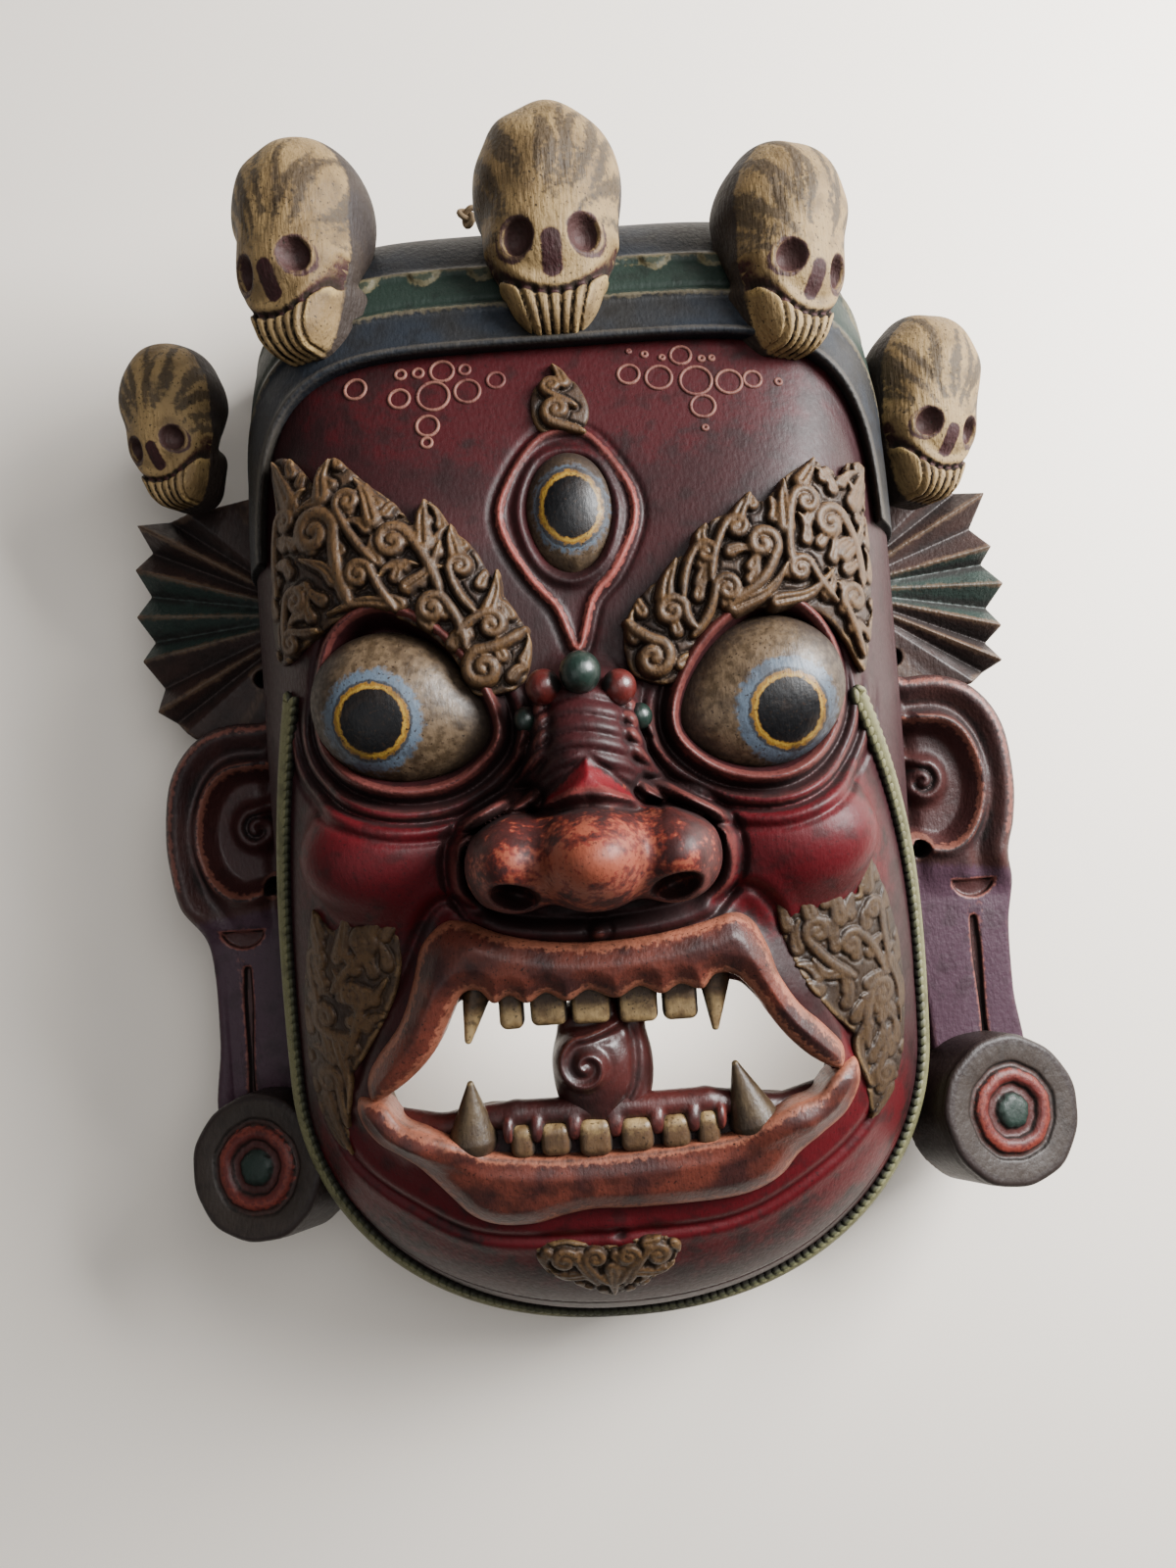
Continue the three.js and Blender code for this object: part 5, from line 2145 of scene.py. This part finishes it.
def on_face(block: Block, face: Face, flat: Array, gap: float = 0.5) -> tuple[Array, Array]:
    """Where flat places lie on the front of the face, and which way the wood faces there.

    Args:
        block: The block.
        face: The face's broad relief.
        flat: Places across and up.
        gap: How far to each side the slope is taken, in millimetres.

    Returns:
        The points and their normals.
    """
    x, y = flat.T
    across = over_face(block, face, x - gap, y) - over_face(block, face, x + gap, y)
    along = over_face(block, face, x, y - gap) - over_face(block, face, x, y + gap)
    normals = np.stack([across, along, np.full(len(x), 2 * gap)], axis=1)
    points = np.stack([x, y, over_face(block, face, x, y)], axis=1)
    return points, normals / np.linalg.norm(normals, axis=1)[:, None]


@dataclass
class Braid:
    """The beaded cord carved round the jaw, from temple to temple: chevrons set along a round core."""

    half_widths: Point = (98.0, 102.0)  # how far out its left and right sides run
    drop: float = 89.5  # from the middle down to its lowest place
    middle: float = -88.0  # where its round part ends and its straight parts start
    straight: float = 0.42  # the share of each half that runs up the cheek
    tops: Point = (31.0, 21.0)  # how high its left and right ends reach
    bends: Point = (12.0, 22.0)  # how far in each end curves
    link: float = 2.9  # spacing of the chevrons
    half: Point = (2.8, 1.35, 1.8)  # half sizes of one arm of a chevron
    slant: float = 32.0  # of each arm against the cord, in degrees
    core: float = 2.5  # radius of the round core
    apart: float = 1.7  # how far from the line the middle of each arm lies
    lift: float = 1.0  # how far the line stands over the face
    curl: float = 2.4  # how late the ends curve in

    def path(self) -> Array:
        """The cord's line, flat, from one temple round the chin to the other.

        Returns:
            The line's points.
        """
        bend = 1 - self.straight
        found = []
        for run in np.linspace(-1, 1, 260):
            end = int(run > 0)
            if abs(run) > bend:
                share = (abs(run) - bend) / self.straight
                across = self.half_widths[end] - self.bends[end] * share**self.curl
                found.append(
                    (math.copysign(across, run), self.middle + (self.tops[end] - self.middle) * share)
                )
            else:
                angle = run / bend * math.pi / 2
                found.append(
                    (self.half_widths[end] * math.sin(angle), self.middle - self.drop * math.cos(angle))
                )
        return np.array(found)

    def build(self, block: Block, face: Face) -> bpy.types.Object:
        """Lays the cord on the face.

        Args:
            block: The block that it lies on.
            face: The face's broad relief.

        Returns:
            The finished piece.
        """
        points, normals = on_face(block, face, self.path())
        line = [(i, i + 1) for i in range(len(points) - 1)]
        piece = carrier("jaw_braid", points + self.lift * normals, line, up=normals)
        graph = Graph("beaded cord along a line", {
            "Spacing": ("Float", self.link * MM),
            "Core Radius": ("Float", self.core * MM),
            "Slant": ("Float", math.radians(self.slant)),
            "Arm": ("Vector", tuple(half * MM for half in self.half)),
        })
        add = graph.add
        curve = add("GeometryNodeMeshToCurve", (graph.named("Geometry"),))
        even = add(
            "GeometryNodeResampleCurve", {"Curve": curve, "Length": graph.named("Spacing")}, mode="LENGTH"
        )
        ball = add("GeometryNodeMeshUVSphere", (8, 5, 1.0))
        arms = []
        for sign in (-1, 1):
            turn = add("ShaderNodeMath", (graph.named("Slant"), sign), **TIMES)
            turn = add("ShaderNodeCombineXYZ", {"Z": turn})
            side = add("ShaderNodeCombineXYZ", {"Y": -sign * self.apart * MM})
            sized = add("GeometryNodeTransform", {"Geometry": ball, "Scale": graph.named("Arm")})
            arms.append(
                add("GeometryNodeTransform", {"Geometry": sized, "Translation": side, "Rotation": turn})
            )
        chevron = add("GeometryNodeJoinGeometry", {"Geometry": arms})
        ahead = add(
            "FunctionNodeAlignRotationToVector", {"Vector": add("GeometryNodeInputTangent")}, axis="X"
        )
        upright = {"Rotation": ahead, "Vector": graph.attribute("up", "FLOAT_VECTOR")}
        upright = add("FunctionNodeAlignRotationToVector", upright, axis="Z", pivot_axis="X")
        beads = add(
            "GeometryNodeInstanceOnPoints", {"Points": even, "Instance": chevron, "Rotation": upright}
        )
        core = graph.tube(curve, "Core Radius", 10, {"Fill Caps": True})
        graph.use(piece, add("GeometryNodeJoinGeometry", {"Geometry": [beads, core]}), BEAD_GREEN)
        where, _ = places(piece)
        under, steep = on_face(block, face, where[:, :2])
        over = (where - under)[:, 2] * steep[:, 2]
        # Darker near the face as painted shade where the cord meets it, and rubbed to wood on the top of each
        # bead.
        note(piece, "grime", ease(over, 2.0, 0.4))
        note(piece, "wear", ease(over, 1.5, 2.5))
        return piece


# Green-grey paint that has worn to wood on the crown of each bead, with painted shade at its foot.
BEAD_GREEN = Paint(
    "bead_green", "43442f", "343524", worn="706d4d", dirt_and_shade_colour="17140d", roughness=0.55, wear=0.8, coat=0.0
)


@dataclass
class Rings:
    """The small painted rings and dots on the forehead."""

    rings: tuple[Point, ...]  # middle across, middle up, radius
    line: float = 0.55  # half the width of the painted line
    proud: float = -0.05  # how far the paint stands over the wood

    def build(self, front: bpy.types.Object) -> bpy.types.Object:
        """Paints the rings on.

        Args:
            front: The piece that they are painted on.

        Returns:
            The finished piece.
        """
        tree = BVHTree.FromPolygons(
            [v.co for v in front.data.vertices], [p.vertices for p in front.data.polygons]
        )
        found = []
        for x, y, _ in self.rings:
            above = (Vector((x, y, 200)) + Vector(SHIFT)) * MM
            hit, normal, _, _ = tree.ray_cast(above, Vector((0, 0, -1)))
            found.append((*(np.array(hit) / MM - SHIFT + self.proud * np.array(normal)), *normal))
        table = np.array(found)
        reach = np.array([radius for _, _, radius in self.rings]) * MM
        piece = carrier("forehead_rings", table[:, :3], up=table[:, 3:], reach=reach)
        graph = Graph("rings on points", {"Line": ("Float", self.line * MM)})
        add = graph.add
        points = add("GeometryNodeMeshToPoints", (graph.named("Geometry"),))
        up = graph.attribute("up", "FLOAT_VECTOR")
        circles = {
            "Points": points,
            "Instance": add("GeometryNodeCurvePrimitiveCircle", {"Resolution": 28, "Radius": 1.0}),
            "Rotation": add("FunctionNodeAlignRotationToVector", {"Vector": up}, axis="Z"),
            "Scale": graph.attribute("reach", "FLOAT"),
        }
        rings = add("GeometryNodeRealizeInstances", (add("GeometryNodeInstanceOnPoints", circles),))
        graph.use(piece, graph.tube(rings, "Line", 8), CREAM_LINE)
        return piece


# Thin cream paint, half rubbed away.
CREAM_LINE = Paint(
    "cream_line", "6c473c", "4e2824", dirt_and_shade_colour="401a18", roughness=0.6, wear=0.0, speckle=1.0, coat=0.0
)
RINGS = Rings(
    (
        (20.3, 118.5, 3.1), (29, 116.8, 3.8), (39.7, 115, 4.6), (49.3, 114, 3.8), (56.3, 114.5, 2.6),
        (41, 106.8, 3.5), (41, 100, 0.7), (21, 126, 0.5), (25.5, 124.6, 0.8), (30.5, 123.2, 0.7),
        (42, 122, 0.8), (45, 122, 0.7), (36, 123.5, 3.0), (64, 113.5, 0.9), (-37, 116, 4.6), (-47, 116, 3.0),
        (-27, 116.8, 3.7), (-18.5, 119.7, 2.5), (-34.2, 123.8, 3.4), (-46.4, 123.8, 1.5),
        (-41.2, 123.8, 1.5), (-27.5, 123.8, 1.6), (-39, 106.7, 3.2), (-39.4, 101.5, 1.5), (-60, 120.5, 3.2),
    )
)


# ---- Small parts ----------------------------------------------------------------------------------------

# Bottle-green lacquer that still shines, with dull red on the two middle stones.
JEWEL_GREEN = Paint(
    "jewel_green", "16251f", "1f2622", worn="5d5142", dirt_and_shade_colour="0e0a08", roughness=0.3, coat=0.5, wear=0.5,
    marks=(Mark("red", "4a1815", below=0.3, soft=0.3, wobble=0.3),),
)


@dataclass(frozen=True)
class Pearls:
    """The five jewels over the nose: a green one, two red ones and two small dark ones."""

    # Each jewel's middle and radius.
    beads: tuple[Point, ...] = (
        (0, 30, 5.6), (-10.2, 27, 4.8), (10.2, 25.6, 4.8), (-15.6, 18.8, 3.6), (15.4, 17.6, 3.6)
    )
    height: float = 128.0

    def build(self) -> bpy.types.Object:
        """Carves and paints the jewels.

        Returns:
            The finished piece.
        """
        made = Carving((-22, 12, 104), (22, 38, 138), 0.4)
        lumps = [
            Lump((x, y, self.height - 1 - x * x / 26), (r, r * 1.05, r * 1.15)) for x, y, r in self.beads
        ]
        made.add(lumps, 0.4)
        piece, (x, y, _) = carve_piece("brow_jewels", made, 8_000, 1.5)
        red = np.minimum(*(np.hypot(x - bx, y - by) - r for bx, by, r in self.beads[1:3]))
        dress(piece, JEWEL_GREEN, red=red)
        return piece


# Dry jute: pale straw yellow, with no shine at all.
JUTE = Paint("jute_twine", "8f7a5e", "6b5842", dirt_and_shade_colour="3a2c1e", roughness=0.85, wear=0.0, coat=0.0)


@dataclass(frozen=True)
class Knot:
    """The knot at the end of the hanging cord: a trefoil of three-stranded twine."""

    at: Point = (-26.0, 190.0, 50.0)
    size: float = 1.044  # of the trefoil, whose loops reach out to three times this
    strand: float = 0.62  # radius of one strand
    lay: float = 0.62  # how far a strand lies from the cord's middle, in its own radii
    twists: float = 26.0  # how often the strands turn on their way round

    def build(self) -> bpy.types.Object:
        """Ties the knot.

        Returns:
            The finished piece.
        """
        t = np.linspace(0, 2 * math.pi, 220, endpoint=False)
        trefoil = [np.sin(t) + 2 * np.sin(2 * t), np.cos(t) - 2 * np.cos(2 * t), -1.2 * np.sin(3 * t)]
        line = np.stack(trefoil, axis=1) * self.size
        ahead = np.roll(line, -1, axis=0) - np.roll(line, 1, axis=0)
        ahead /= np.linalg.norm(ahead, axis=1)[:, None]
        side = np.cross(ahead, (0, 0, 1))
        side /= np.linalg.norm(side, axis=1)[:, None]
        up = np.cross(side, ahead)
        strands, edges = [], []
        for index in range(3):
            turn = (self.twists * t + index * 2 * math.pi / 3)[:, None]
            strands.append(line + self.strand * self.lay * (np.cos(turn) * side + np.sin(turn) * up))
            edges += [(index * len(t) + i, index * len(t) + (i + 1) % len(t)) for i in range(len(t))]
        piece = carrier("cord_knot", np.vstack(strands) + np.array(self.at), edges)
        graph = Graph("strands along lines", {"Strand Radius": ("Float", self.strand * MM)})
        curve = graph.add("GeometryNodeMeshToCurve", (graph.named("Geometry"),))
        graph.use(piece, graph.tube(curve, "Strand Radius", 10), JUTE)
        return piece


# ---- The stage ------------------------------------------------------------------------------------------


@dataclass
class Stage:
    """A pale floor, soft studio light, and the camera that looks down on the mask."""

    height: float = 453.0  # of the camera over the floor, in millimetres
    lens: float = 28.0
    roll: float = -4.1  # in degrees
    # Each light's name, place and aim from the nose line's foot, sides, watts, and whether it is seen itself.
    lights: tuple[tuple, ...] = (
        ("window", (640, 330, 470), (0, 0, 0), (420, 420), 29.0, True),
        ("room", (-500, -200, 900), (0, 0, 0), (700, 700), 1.2, True),
        ("overhead", (300, 300, 1000), (0, 0, 0), (700, 700), 5.5, True),
        ("through_the_mouth", (0, -70, 60), (0, -70, 0), (110, 60), 0.16, False),
    )

    def build(self) -> None:
        """Makes the floor, the lights and the camera."""
        self._floor()
        for light in self.lights:
            self._light(*light)
        self._world()
        camera = bpy.data.cameras.new("camera")
        camera.lens, camera.sensor_width = self.lens, 36.0
        camera.clip_start, camera.clip_end = 0.01, 20
        holder = in_scene("camera", camera)
        holder.location = Vector((SHIFT[0], SHIFT[1], self.height)) * MM
        holder.rotation_euler = (0, 0, math.radians(self.roll))
        bpy.context.scene.camera = holder

    def _floor(self, reach: float = 6000.0) -> None:
        """A wide pale floor under the rim.

        Args:
            reach: How far it goes each way, in millimetres.
        """
        corners = np.array([(-reach, -reach, 0), (reach, -reach, 0), (reach, reach, 0), (-reach, reach, 0)])
        floor = mesh_object("floor", corners, np.array([[0, 1, 2, 3]]))
        paint = bpy.data.materials.new("pale_floor")
        paint.use_nodes = True
        shader = paint.node_tree.nodes["Principled BSDF"]
        shader.inputs["Base Color"].default_value = srgb("f2e9dd")
        shader.inputs["Roughness"].default_value = 0.6
        floor.data.materials.append(paint)
        floor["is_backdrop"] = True

    def _light(self, name: str, at: Point, aim: Point, size: Point, power: float, seen: bool) -> None:
        """A soft rectangular light.

        Args:
            name: Its name.
            at: Where it hangs, in millimetres.
            aim: What it points at.
            size: Its two sides, in millimetres.
            power: Its power in watts.
            seen: Whether the camera can see it.
        """
        light = bpy.data.lights.new(name, "AREA")
        light.shape, light.size, light.size_y, light.energy = "RECTANGLE", size[0] * MM, size[1] * MM, power
        holder = in_scene(name, light)
        holder.location = (Vector(at) + Vector(SHIFT)) * MM
        holder.rotation_euler = (Vector(aim) - Vector(at)).to_track_quat("-Z", "Y").to_euler()
        holder.visible_camera = seen

    def _world(self) -> None:
        """An even grey-white room."""
        world = bpy.data.worlds.new("room")
        world.use_nodes = True
        background = world.node_tree.nodes["Background"]
        background.inputs["Color"].default_value = srgb("dcdcde")
        background.inputs["Strength"].default_value = 0.18
        bpy.context.scene.world = world


def finish(piece: bpy.types.Object, node: str) -> None:
    """Ties a piece to the frame and reports it.

    Args:
        piece: The piece.
        node: The CAD node that it stands for.
    """
    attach(piece, "root")
    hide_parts(node)
    log.info("%s: %d faces", piece.name, len(piece.data.polygons))


def write_sizes() -> None:
    """Works out the CAD model's box and the visual model's as plain lists."""
    found = {"cad": CAD_BOX, "visual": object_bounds()}
    plain = {name: [list(map(float, corner)) for corner in box] for name, box in found.items()}


def main() -> None:
    """Builds the mask piece by piece, then the stage."""
    logging.basicConfig(level=logging.INFO, format="%(name)s: %(message)s")
    block, face = Block(), Face()
    halves = block.build(face)
    pieces = [
        *halves,
        *(eye.build(block) for eye in EYES),
        *(overlay.build(block, face) for overlay in (*BROWS, *BEARD, *LIPS)),
        *Mouth().build(),
        CrownBand().build(block),
        *(skull.build() for skull in SKULLS),
        *(part.build() for part in (*EARS, *DISCS, *FANS)),
        Pearls().build(),
        Braid().build(block, face),
        RINGS.build(halves[0]),
    ]
    for piece in pieces:
        finish(piece, "mask")
    finish(Knot().build(), "cord_knot")
    Stage().build()
    write_sizes()


if __name__ == "__main__":
    main()
